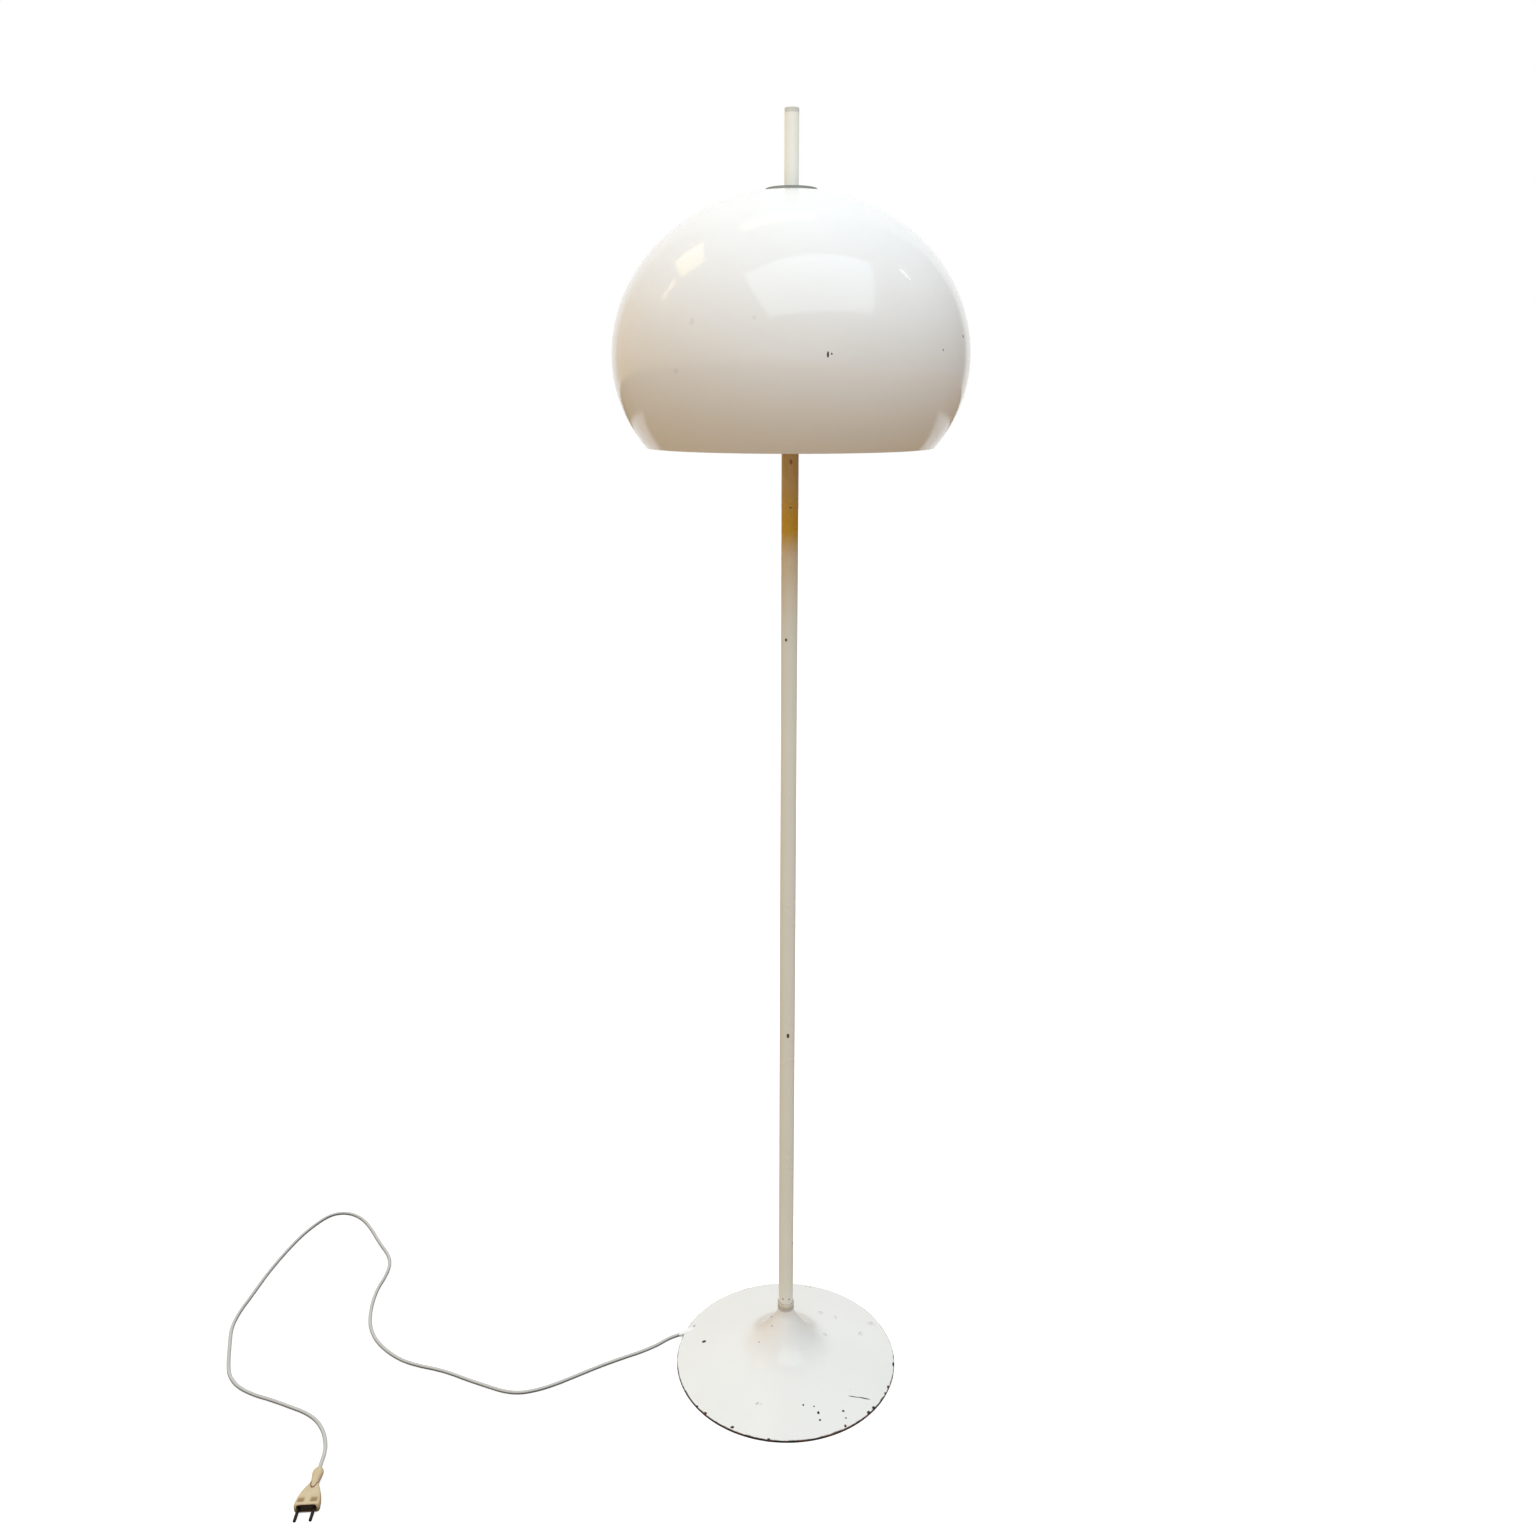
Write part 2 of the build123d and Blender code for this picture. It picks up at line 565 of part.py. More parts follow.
# Low domed cap, whose skirt screws down on the sleeve through the crown's hole
cap_edge_top = CAP_UNDERSIDE + 2.45
cap_crown_top = CAP_UNDERSIDE + 3.5
cap_flat_radius = UPPER_TUBE_RADIUS + 3.0
cap_skirt_bottom = seat_top + 0.4
cap_skirt_radius = CROWN_HOLE_RADIUS - 0.5
with BuildPart() as shade_cap:
    with BuildSketch(Plane.XZ):
        with BuildLine():
            crown_line = Polyline(
                (SLEEVE_RADIUS + SCREWED, CAP_UNDERSIDE),
                (UPPER_TUBE_RADIUS + SCREWED, CAP_UNDERSIDE),
                (UPPER_TUBE_RADIUS + SCREWED, cap_crown_top),
                (cap_flat_radius, cap_crown_top),
            )
            rise = TangentArc(crown_line @ 1, (CAP_RADIUS, cap_edge_top), tangent=(1, 0))
            Polyline(
                rise @ 1,
                (CAP_RADIUS, CAP_UNDERSIDE),
                (cap_skirt_radius, CAP_UNDERSIDE),
                (cap_skirt_radius, cap_skirt_bottom),
                (SLEEVE_RADIUS + SCREWED, cap_skirt_bottom),
                (SLEEVE_RADIUS + SCREWED, CAP_UNDERSIDE),
            )
        make_face()
    revolve(axis=Axis.Z)
pieces["shade_cap"] = shade_cap

# ---------------------------------------------------------------- drum with lampholders

drum_wall = 1.5
drum_top_wall = 2.0
cover_thickness = 1.5
boss_distance = 28.0
boss_radius = 3.0
cover_screw_radius = 1.5
holder_angles = [HOLDER_AZIMUTH + k * 360 / HOLDER_COUNT for k in range(HOLDER_COUNT)]
boss_start = HOLDER_AZIMUTH + 180 / HOLDER_COUNT
boss_shift = 1.6            # bosses sit this much further out than their screws, into the wall
boss_height = 12.0
screw_length = 9.0
drum_fillet = 1.4


def radial(angle):
    """Unit vector pointing away from the pole at an angle."""
    return Vector(cos(radians(angle)), sin(radians(angle)), 0)


def holder_plane(angle):
    """Plane through a lampholder's axis: x runs outwards, y runs up."""
    across = Vector(sin(radians(angle)), -cos(radians(angle)), 0)
    return Plane(origin=(0, 0, HOLDER_Z), x_dir=radial(angle), z_dir=across)


def holder_axis(angle):
    """A lampholder's axis, pointing away from the pole."""
    return Axis((0, 0, HOLDER_Z), tuple(radial(angle)))


with BuildPart() as drum:
    ring(DRUM_RADIUS, DRUM_RADIUS - drum_wall, DRUM_BOTTOM, DRUM_TOP)
    ring(DRUM_RADIUS - drum_wall / 2, SLEEVE_RADIUS + SCREWED, DRUM_TOP - drum_top_wall, DRUM_TOP)
    fillet(drum.edges().group_by(Axis.Z)[-1].sort_by(SortBy.RADIUS)[-1], drum_fillet)
    with BuildSketch(Plane.XY.offset(DRUM_BOTTOM)):
        with PolarLocations(boss_distance + boss_shift, HOLDER_COUNT, start_angle=boss_start):
            Circle(boss_radius)
    extrude(amount=boss_height)
    with BuildSketch(Plane.XY.offset(DRUM_BOTTOM)):
        with PolarLocations(boss_distance, HOLDER_COUNT, start_angle=boss_start):
            Circle(cover_screw_radius + SCREWED)
    extrude(amount=screw_length, mode=Mode.SUBTRACT)
    for angle in holder_angles:
        with BuildSketch(Plane(origin=(0, 0, HOLDER_Z), x_dir=(0, 0, 1), z_dir=radial(angle))):
            Circle(ROD_RADIUS + SCREWED)
        extrude(amount=DRUM_RADIUS + OVERRUN, mode=Mode.SUBTRACT)
    # trims what the bosses put outside the drum's round wall
    with BuildSketch(Plane.XY.offset(DRUM_BOTTOM)):
        Circle(DRUM_RADIUS + boss_radius)
        Circle(DRUM_RADIUS, mode=Mode.SUBTRACT)
    extrude(amount=boss_height, mode=Mode.SUBTRACT)
pieces["drum"] = drum

with BuildPart() as drum_nut_top:
    hex_nut(nut_flats, SLEEVE_RADIUS + SCREWED, DRUM_TOP, nut_height)
pieces["drum_nut_top"] = drum_nut_top

with BuildPart() as drum_nut_bottom:
    hex_nut(
        nut_flats,
        SLEEVE_RADIUS + SCREWED,
        DRUM_TOP - drum_top_wall - nut_height,
        nut_height,
    )
pieces["drum_nut_bottom"] = drum_nut_bottom

# Push switch in the drum's cover, button downwards
switch_distance = 22.0
switch_radius = 6.0
neck_radius = 5.0
button_radius = 3.6
button_travel = 3.0
cover_bottom = DRUM_BOTTOM - cover_thickness
switch_body_height = 18.0
switch_neck_bottom = cover_bottom - 4.5
button_bottom = switch_neck_bottom - 6.5
button_top = DRUM_BOTTOM + 1.0
button_well_top = button_top + button_travel + 0.5
button_fillet = 1.2
cover_fillet = 1.0
with BuildPart() as drum_cover:
    ring(DRUM_RADIUS, SLEEVE_RADIUS + CLEAR, cover_bottom, DRUM_BOTTOM)
    fillet(drum_cover.edges().group_by(Axis.Z)[0].sort_by(SortBy.RADIUS)[-1], cover_fillet)
    with BuildSketch(Plane.XY.offset(cover_bottom)):
        with Locations((switch_distance, 0)):
            Circle(neck_radius + SCREWED)
        with PolarLocations(boss_distance, HOLDER_COUNT, start_angle=boss_start):
            Circle(cover_screw_radius + LOOSE)
    extrude(amount=cover_thickness, mode=Mode.SUBTRACT)
pieces["drum_cover"] = drum_cover

screw_head_radius = 2.8
screw_head_height = 1.8
screw_slot = (4.2, 0.7)
screw_slot_depth = 0.9
with BuildPart() as cover_screws:
    with BuildSketch(Plane.XY.offset(cover_bottom)):
        with PolarLocations(boss_distance, HOLDER_COUNT, start_angle=boss_start):
            Circle(cover_screw_radius)
    extrude(amount=screw_length)
    with BuildSketch(Plane.XY.offset(cover_bottom - screw_head_height)):
        with PolarLocations(boss_distance, HOLDER_COUNT, start_angle=boss_start):
            Circle(screw_head_radius)
    extrude(amount=screw_head_height)
    with BuildSketch(Plane.XY.offset(cover_bottom - screw_head_height)):
        with PolarLocations(boss_distance, HOLDER_COUNT, start_angle=boss_start):
            Rectangle(*screw_slot)
    extrude(amount=screw_slot_depth, mode=Mode.SUBTRACT)
pieces["cover_screws"] = cover_screws

with BuildPart() as switch_body:
    with BuildSketch(Plane.XY.offset(DRUM_BOTTOM)):
        with Locations((switch_distance, 0)):
            Circle(switch_radius)
    extrude(amount=switch_body_height)
    with BuildSketch(Plane.XY.offset(switch_neck_bottom)):
        with Locations((switch_distance, 0)):
            Circle(neck_radius)
    extrude(amount=DRUM_BOTTOM - switch_neck_bottom)
    with BuildSketch(Plane.XY.offset(switch_neck_bottom)):
        with Locations((switch_distance, 0)):
            Circle(button_radius + CLEAR)
    extrude(amount=button_well_top - switch_neck_bottom, mode=Mode.SUBTRACT)
pieces["switch_body"] = switch_body

small_nut_half_flats = 7.0
switch_nut_height = 2.2
with BuildPart() as switch_nut:
    with BuildSketch(Plane.XY.offset(cover_bottom - switch_nut_height)):
        with Locations((switch_distance, 0)):
            RegularPolygon(small_nut_half_flats, 6, major_radius=False)
            Circle(neck_radius + SCREWED, mode=Mode.SUBTRACT)
    extrude(amount=switch_nut_height)
pieces["switch_nut"] = switch_nut

with BuildPart() as switch_button:
    with BuildSketch(Plane.XY.offset(button_bottom)):
        with Locations((switch_distance, 0)):
            Circle(button_radius)
    extrude(amount=button_top - button_bottom)
    fillet(switch_button.edges().group_by(Axis.Z)[0], button_fillet)
pieces["switch_button"] = switch_button

# Terminal block under the lead's exit
block_distance = 20.5
block_depth = 10.0
block_width = 17.0
block_bottom = 1413.0
block_top = 1425.5
block_screw_spacing = 8.0
block_screw_radius = 1.6
block_corner = 1.0
block_screw_depth = 3.3
with BuildPart() as terminal_block:
    with BuildSketch(Plane.XY.offset(block_bottom)):
        with Locations((-block_distance, 0)):
            RectangleRounded(block_depth, block_width, block_corner)
    extrude(amount=block_top - block_bottom)
    with BuildSketch(Plane.YZ.offset(-block_distance - block_depth / 2)):
        with Locations((0, (block_bottom + block_top) / 2)):
            with GridLocations(block_screw_spacing, 0, 2, 1):
                Circle(block_screw_radius)
    extrude(amount=block_screw_depth, mode=Mode.SUBTRACT)
pieces["terminal_block"] = terminal_block

# Hollow nipples that carry the lampholders in the drum's wall, and their nuts
nipple_start = 27.0
nipple_end = 41.0
with BuildPart() as holder_nipples:
    for angle in holder_angles:
        with BuildSketch(holder_plane(angle)):
            with Locations(((nipple_start + nipple_end) / 2, (ROD_RADIUS + ROD_BORE) / 2)):
                Rectangle(nipple_end - nipple_start, ROD_RADIUS - ROD_BORE)
        revolve(axis=holder_axis(angle))
pieces["holder_nipples"] = holder_nipples

holder_nut_height = 3.0
holder_nut_outside = 31.2
with BuildPart() as holder_nuts:
    for angle in holder_angles:
        nut_plane = Plane(
            origin=Vector(0, 0, HOLDER_Z) + radial(angle) * (holder_nut_outside - holder_nut_height),
            x_dir=(0, 0, 1),
            z_dir=radial(angle),
        )
        with BuildSketch(nut_plane):
            RegularPolygon(small_nut_half_flats, 6, major_radius=False)
            Circle(ROD_RADIUS + SCREWED, mode=Mode.SUBTRACT)
        extrude(amount=holder_nut_height)
pieces["holder_nuts"] = holder_nuts

# One lampholder: domed cap, porcelain core with a screw shell, and skirt
cap_start = DRUM_RADIUS + LOOSE
cap_out = 19.0              # radius of the holder's shell
cap_floor = 41.0
cap_end = 52.0
core_floor = 50.0
core_end = 74.0
core_start = cap_floor + 1.5
core_radius = 14.9
skirt_end = 84.0
lamp_cap_radius = 13.4
cap_foot = (cap_start, 9.5)         # distance along the holder's axis, radius
cap_neck = (cap_start + 4.0, 10.0)
cap_dome_end = (cap_end - 4.0, cap_out)
cap_dome_radius = 12.0
cap_profile_end = [
    cap_dome_end,
    (cap_end, cap_out),
    (cap_end, cap_out - 2.0),
    (cap_floor, cap_out - 4.0),
    (cap_floor, ROD_RADIUS + SCREWED),
    (cap_start, ROD_RADIUS + SCREWED),
]
core_profile = [
    (core_start, 0),
    (core_start, 14.0),
    (core_floor, core_radius),
    (core_end, core_radius),
    (core_end, lamp_cap_radius + CLEAR),
    (core_floor, lamp_cap_radius + CLEAR),
    (core_floor, 0),
]
skirt_profile = [
    (cap_end, 15.0),
    (cap_end, cap_out),
    (cap_end + 3.0, cap_out + 0.8),
    (cap_end + 6.0, cap_out),
    (skirt_end - 1.0, cap_out - 1.0),
    (skirt_end, cap_out - 2.0),
    (skirt_end, cap_out - 3.5),
    (cap_end + 8.0, cap_out - 3.0),
    (cap_end + 6.0, 15.0),
]

# Screwed lamp cap: contact, taper and rounded thread rings
ring_pitch = 3.6
ring_count = 6
ring_root = lamp_cap_radius - 1.2
thread_start = core_floor + 6.0
thread_end = thread_start + ring_pitch * ring_count
contact_profile = [
    (thread_end, 0),
    (core_floor, 0),
    (core_floor, 4.0),
    (core_floor + 1.8, 5.0),
    (core_floor + 3.0, 9.0),
    (thread_start, ring_root),
]

# Glass: a neck that swells smoothly into the round bulb, open where it enters the cap
glass_wall = 0.8
glass_neck_radius = 12.4
bulb_centre = BULB_TIP - BULB_RADIUS
join_angle = 122.0
inside_radius = BULB_RADIUS - glass_wall

for number, angle in enumerate(holder_angles, start=1):
    with BuildPart() as holder_cap:
        with BuildSketch(holder_plane(angle)):
            with BuildLine():
                Polyline((cap_start, ROD_RADIUS + SCREWED), cap_foot, cap_neck)
                RadiusArc(cap_neck, cap_dome_end, cap_dome_radius)
                Polyline(*cap_profile_end)
            make_face()
        revolve(axis=holder_axis(angle))
    pieces[f"holder_cap_{number}"] = holder_cap

    with BuildPart() as holder_core:
        with BuildSketch(holder_plane(angle)):
            with BuildLine():
                Polyline(*core_profile, close=True)
            make_face()
        revolve(axis=holder_axis(angle))
    pieces[f"holder_core_{number}"] = holder_core

    with BuildPart() as holder_skirt:
        with BuildSketch(holder_plane(angle)):
            with BuildLine():
                Polyline(*skirt_profile, close=True)
            make_face()
        revolve(axis=holder_axis(angle))
    pieces[f"holder_skirt_{number}"] = holder_skirt

    with BuildPart() as bulb_cap:
        with BuildSketch(holder_plane(angle)):
            with BuildLine():
                Polyline(*contact_profile)
                for turn in range(ring_count):
                    ring_at = thread_start + turn * ring_pitch
                    ThreePointArc(
                        (ring_at, ring_root),
                        (ring_at + ring_pitch / 2, lamp_cap_radius),
                        (ring_at + ring_pitch, ring_root),
                    )
                Line((thread_end, ring_root), (thread_end, 0))
            make_face()
        revolve(axis=holder_axis(angle))
    pieces[f"bulb_cap_{number}"] = bulb_cap

    with BuildPart() as bulb_glass:
        with BuildSketch(holder_plane(angle)):
            with BuildLine():
                outer_ball = CenterArc((bulb_centre, 0), BULB_RADIUS, 0, join_angle)
                outer_neck = TangentArc(
                    outer_ball @ 1, (thread_end, glass_neck_radius), tangent=outer_ball % 1
                )
                inner_ball = CenterArc((bulb_centre, 0), inside_radius, 0, join_angle)
                inner_neck_line = TangentArc(
                    inner_ball @ 1,
                    (thread_end, glass_neck_radius - glass_wall),
                    tangent=inner_ball % 1,
                )
                Line(outer_neck @ 1, inner_neck_line @ 1)
                Line(outer_ball @ 0, inner_ball @ 0)
            make_face()
        revolve(axis=holder_axis(angle))
    pieces[f"bulb_glass_{number}"] = bulb_glass

# ---------------------------------------------------------------- leads inside the lamp


def swept_tube(points, radii, radius):
    """A round tube along straight runs joined by tangent arcs."""
    with BuildLine() as route:
        FilletPolyline(*points, radius=radii)
    path = route.wire()
    with BuildSketch(Plane(origin=path @ 0, z_dir=path % 0)) as section:
        Circle(radius)
    sweep(section.sketch, path=path)
    return path.length


def fitted_radii(points):
    """Each corner's radius: 0.45 of the shorter run over the tangent of half the turn."""
    radii = []
    for before, corner, after in zip(points, points[1:], points[2:]):
        run_in = Vector(*corner) - Vector(*before)
        run_out = Vector(*after) - Vector(*corner)
        half_turn = radians(run_in.get_angle(run_out)) / 2
        radii.append(0.45 * min(run_in.length, run_out.length) / tan(half_turn))
    return radii


channel_mouth_distance = 112.0
channel_mouth = radial(CHANNEL_HEADING) * channel_mouth_distance
base_lead_points = [
    tuple(CORD_START),
    tuple(LEAD_CORNER),
    (channel_mouth.X, channel_mouth.Y, LEAD_Z),
    (0, 0, LEAD_Z),
    (0, 0, LEAD_SPLIT),
]
base_lead_bends = [24.0, 30.0, 6.0]
with BuildPart() as base_lead:
    swept_tube(base_lead_points, base_lead_bends, CORD_RADIUS)
pieces["base_lead"] = base_lead

exit_bend = 5.5
with BuildPart() as upper_lead:
    swept_tube(
        [
            (0, 0, LEAD_SPLIT + LEAD_SPLIT_GAP),
            (0, 0, lead_exit_z),
            (-block_distance, 0, lead_exit_z),
            (-block_distance, 0, block_top),
        ],
        [exit_bend, exit_bend],
        CORD_RADIUS,
    )
pieces["upper_lead"] = upper_lead

# Three thin leads from the block to the nipples, round the sleeve at their own heights
wire_radius = 1.1
wire_start = 19.0
wire_ring = 16.5
wire_bend = 2.6
wire_levels = {1: 1406.8, 2: 1409.2, 3: 1404.4}
wire_stops = {1: [172, 140, 108, 90], 2: [188, 210], 3: [180, 220, 255, 290, 318, 330]}
with BuildPart() as holder_leads:
    for number, angle in enumerate(holder_angles, start=1):
        level = wire_levels[number]
        stops = wire_stops[number]
        start = radial(stops[0]) * wire_start
        wire = [(start.X, start.Y, block_bottom), (start.X, start.Y, level)]
        for stop in stops[1:]:
            place = radial(stop) * wire_ring
            wire.append((place.X, place.Y, level))
        wire.append((place.X, place.Y, HOLDER_Z))
        outer = radial(angle) * nipple_end
        wire.append((outer.X, outer.Y, HOLDER_Z))
        bends = [min(wire_bend, bend) for bend in fitted_radii(wire)]
        swept_tube(wire, bends, wire_radius)
pieces["holder_leads"] = holder_leads

# ---------------------------------------------------------------- cord clamp and grommet

strap_thickness = 1.2
strap_width = 9.0
strap_length = 2 * clamp_screw_spread + strap_width
strap_head_height = 1.3
with BuildPart() as cord_clamp:
    with BuildSketch(channel_plane.offset(-strap_thickness)):
        with Locations((clamp_distance, 0)):
            SlotOverall(strap_length, strap_width, rotation=90)
            with GridLocations(0, 2 * clamp_screw_spread, 1, 2):
                Circle(clamp_thread_radius + SCREWED, mode=Mode.SUBTRACT)
    extrude(amount=strap_thickness)
pieces["cord_clamp"] = cord_clamp

with BuildPart() as cord_clamp_screws:
    with BuildSketch(channel_plane.offset(-strap_thickness)):
        with Locations((clamp_distance, 0)):
            with GridLocations(0, 2 * clamp_screw_spread, 1, 2):
                Circle(clamp_thread_radius)
    extrude(amount=clamp_thread_depth)
    with BuildSketch(channel_plane.offset(-strap_thickness - strap_head_height)):
        with Locations((clamp_distance, 0)):
            with GridLocations(0, 2 * clamp_screw_spread, 1, 2):
                Circle(screw_head_radius)
    extrude(amount=strap_head_height)
pieces["cord_clamp_screws"] = cord_clamp_screws

# Rubber strain relief: arched, flat underneath, tapering outwards
grommet_plane = Plane(
    origin=EXIT_POINT - EXIT_DIRECTION * GROMMET_INSIDE,
    x_dir=EXIT_DIRECTION.cross(Vector(0, 0, 1)),
    z_dir=EXIT_DIRECTION,
)
grommet_base = 0.15 - CORD_Z
grommet_corner = 2.0
grommet_sections = [
    (0.0, 8.0, 6.4),
    (GROMMET_INSIDE, 7.8, 6.2),
    (GROMMET_INSIDE + GROMMET_OUTSIDE, 5.9, 5.3),
]
with BuildPart() as cord_grommet:
    for distance, width, height in grommet_sections:
        with BuildSketch(grommet_plane.offset(distance)):
            up = 1 if grommet_plane.y_dir.Z > 0 else -1
            with Locations((0, up * (grommet_base + height / 2))):
                RectangleRounded(width, height, grommet_corner)
    loft(ruled=True)
    with BuildSketch(grommet_plane):
        Circle(CORD_RADIUS)
    extrude(amount=GROMMET_INSIDE + GROMMET_OUTSIDE, mode=Mode.SUBTRACT)
pieces["cord_grommet"] = cord_grommet

# ---------------------------------------------------------------- mains cord

# Route on the floor from the grommet to the plug, as it lies
cord_route = [
    tuple(CORD_START),
    tuple(CORD_START + EXIT_DIRECTION * EXIT_RUN),
    (-184.5, 20.8, CORD_Z),
    (-205.0, 7.0, CORD_Z),
    (-235.0, -8.0, CORD_Z),
    (-264.0, -24.0, CORD_Z),
    (-298.4, -45.7, CORD_Z),
    (-319.8, -58.9, CORD_Z),
    (-341.7, -69.5, CORD_Z),
    (-365.4, -76.2, CORD_Z),
    (-387.4, -74.0, CORD_Z),
    (-409.6, -66.0, CORD_Z),
    (-443.3, -53.0, CORD_Z),
    (-470.4, -41.0, CORD_Z),
    (-493.6, -33.2, CORD_Z),
    (-519.5, -27.3, CORD_Z),
    (-547.0, -17.4, CORD_Z),
    (-573.0, 0.0, CORD_Z),
    (-595.5, 21.0, CORD_Z),
    (-612.0, 46.5, CORD_Z),
    (-620.6, 71.0, CORD_Z),
    (-626.2, 98.5, CORD_Z),
    (-628.8, 132.2, CORD_Z),
    (-624.8, 161.5, CORD_Z),
    (-626.0, 190.5, CORD_Z),
    (-636.2, 214.0, CORD_Z),
    (-659.9, 243.5, CORD_Z),
    (-683.7, 278.3, CORD_Z),
    (-703.8, 302.0, CORD_Z),
    (-725.0, 317.0, CORD_Z),
    (-746.0, 321.3, CORD_Z),
    (-764.0, 314.6, CORD_Z),
    (-777.5, 295.6, CORD_Z),
    (-792.9, 260.5, CORD_Z),
    (-804.2, 212.5, CORD_Z),
    (-812.0, 163.9, CORD_Z),
    (-815.9, 112.8, CORD_Z),
    (-819.6, 78.6, CORD_Z),
    (-817.8, 44.6, CORD_Z),
    (-805.7, 10.6, CORD_Z),
    (-792.6, -25.0, CORD_Z),
    (-780.6, -51.0, CORD_Z),
    (-759.8, -71.8, CORD_Z),
    (-731.2, -86.0, CORD_Z),
    (-703.6, -94.6, CORD_Z),
    (-674.3, -106.0, CORD_Z),
    (-647.6, -116.6, CORD_Z),
    (-628.0, -130.0, CORD_Z),
    (-613.2, -147.8, CORD_Z),
    (-603.9, -166.0, 2.7),
    (-598.0, -183.4, 5.0),
    tuple(PLUG_ENTRY - PLUG_DIRECTION * ENTRY_RUN),
    tuple(PLUG_ENTRY),
]
cord_radii = fitted_radii(cord_route)
with BuildPart() as mains_cord:
    cord_length = swept_tube(cord_route, cord_radii, CORD_RADIUS)
pieces["mains_cord"] = mains_cord

runs = [(Vector(*b) - Vector(*a)).length for a, b in zip(cord_route, cord_route[1:])]
expected = pi * CORD_RADIUS**2 * cord_length
print("cord radii", [round(bend) for bend in cord_radii])
print("cord least radius", round(min(cord_radii), 1), "length", round(cord_length))
print("cord runs", round(min(runs)), "to", round(max(runs)), "mm")
print("cord runs' worst ratio", round(max(max(a / b, b / a) for a, b in zip(runs, runs[1:])), 2))
print("cord volume over section times length", round(mains_cord.part.volume / expected, 4))

# ---------------------------------------------------------------- plug

plug_plane = Plane(
    origin=PLUG_FACE_CENTRE,
    x_dir=-PLUG_DIRECTION,
    z_dir=(0, 0, 1),
)
face_plane = Plane(
    origin=PLUG_FACE_CENTRE,
    x_dir=(0, 0, 1),
    z_dir=PLUG_DIRECTION,
)
plug_corner = 2.2           # round of the body's upright edges at the face
plug_outline = [            # distance from the face, half width
    (9.0, 15.0),
    (15.0, 13.9),
    (21.0, 12.2),
    (26.0, 10.2),
    (32.0, 7.4),
    (39.0, 4.8),
    (47.0, 6.0),
    (54.0, 7.0),
    (59.0, 5.4),
    (PLUG_LENGTH, 3.6),
]
plug_side = [               # distance from the face, half height
    (0, PLUG_HEIGHT / 2),
    (20.0, PLUG_HEIGHT / 2),
    (36.0, 5.2),
    (53.0, 5.4),
    (PLUG_LENGTH, 3.4),
]
face_recess = 2.0
face_sunk = 0.6             # how far the dark face stays below the body's lip
face_width = 24.6
face_height = 10.8
face_corner = 3.0
pin_tip_fillet = 0.8
with BuildPart() as plug_body:
    with BuildSketch(plug_plane.offset(-PLUG_HEIGHT / 2)):
        with BuildLine():
            face_line = Line((0, 0), (0, PLUG_WIDTH / 2 - plug_corner))
            corner = JernArc(face_line @ 1, tangent=(0, 1), radius=plug_corner, arc_size=-90)
            one_side = Spline(corner @ 1, *plug_outline)
            Line(one_side @ 1, (PLUG_LENGTH, 0))
            mirror(about=Plane.XZ)
        make_face()
    extrude(amount=PLUG_HEIGHT)
    side_plane = Plane(
        origin=PLUG_FACE_CENTRE, x_dir=-PLUG_DIRECTION, z_dir=PLUG_DIRECTION.cross(Vector(0, 0, -1))
    )
    with BuildSketch(side_plane):
        with BuildLine():
            upper = Spline(*plug_side)
            Line((0, 0), upper @ 0)
            Line(upper @ 1, (PLUG_LENGTH, 0))
            mirror(about=Plane.XZ)
        make_face()
    extrude(amount=PLUG_WIDTH, both=True, mode=Mode.INTERSECT)
    with BuildSketch(face_plane):
        RectangleRounded(face_height, face_width, face_corner)
    extrude(amount=-face_recess, mode=Mode.SUBTRACT)
pieces["plug_body"] = plug_body

with BuildPart() as plug_face:
    with BuildSketch(face_plane.offset(-face_recess)):
        RectangleRounded(face_height, face_width, face_corner)
        with GridLocations(0, PIN_SPACING, 1, 2):
            Circle(PIN_RADIUS, mode=Mode.SUBTRACT)
    extrude(amount=face_recess - face_sunk)
pieces["plug_face"] = plug_face

with BuildPart() as plug_pins:
    with BuildSketch(face_plane.offset(-face_recess)):
        with GridLocations(0, PIN_SPACING, 1, 2):
            Circle(PIN_RADIUS)
    extrude(amount=face_recess + PIN_LENGTH)
    flat_faces = plug_pins.faces().filter_by(GeomType.PLANE)
    pin_tips = [face for face in flat_faces if face.normal_at().dot(PLUG_DIRECTION) > 0]
    fillet([edge for tip in pin_tips for edge in tip.edges()], pin_tip_fillet)
pieces["plug_pins"] = plug_pins

# ---------------------------------------------------------------- files

os.makedirs("parts", exist_ok=True)
for name, piece in pieces.items():
    piece.part.label = name
    export_step(piece.part, f"parts/{name}.step")
print(len(pieces), "nodes")
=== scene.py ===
"""The looks of the mushroom floor lamp: its camera, light, cord, plug and finishes.

Metres, +Z up, in the lamp's own frame: the origin is the middle of the base, on the floor.
"""

import json
import math

import bmesh
import bpy
from mathutils import Matrix, Vector

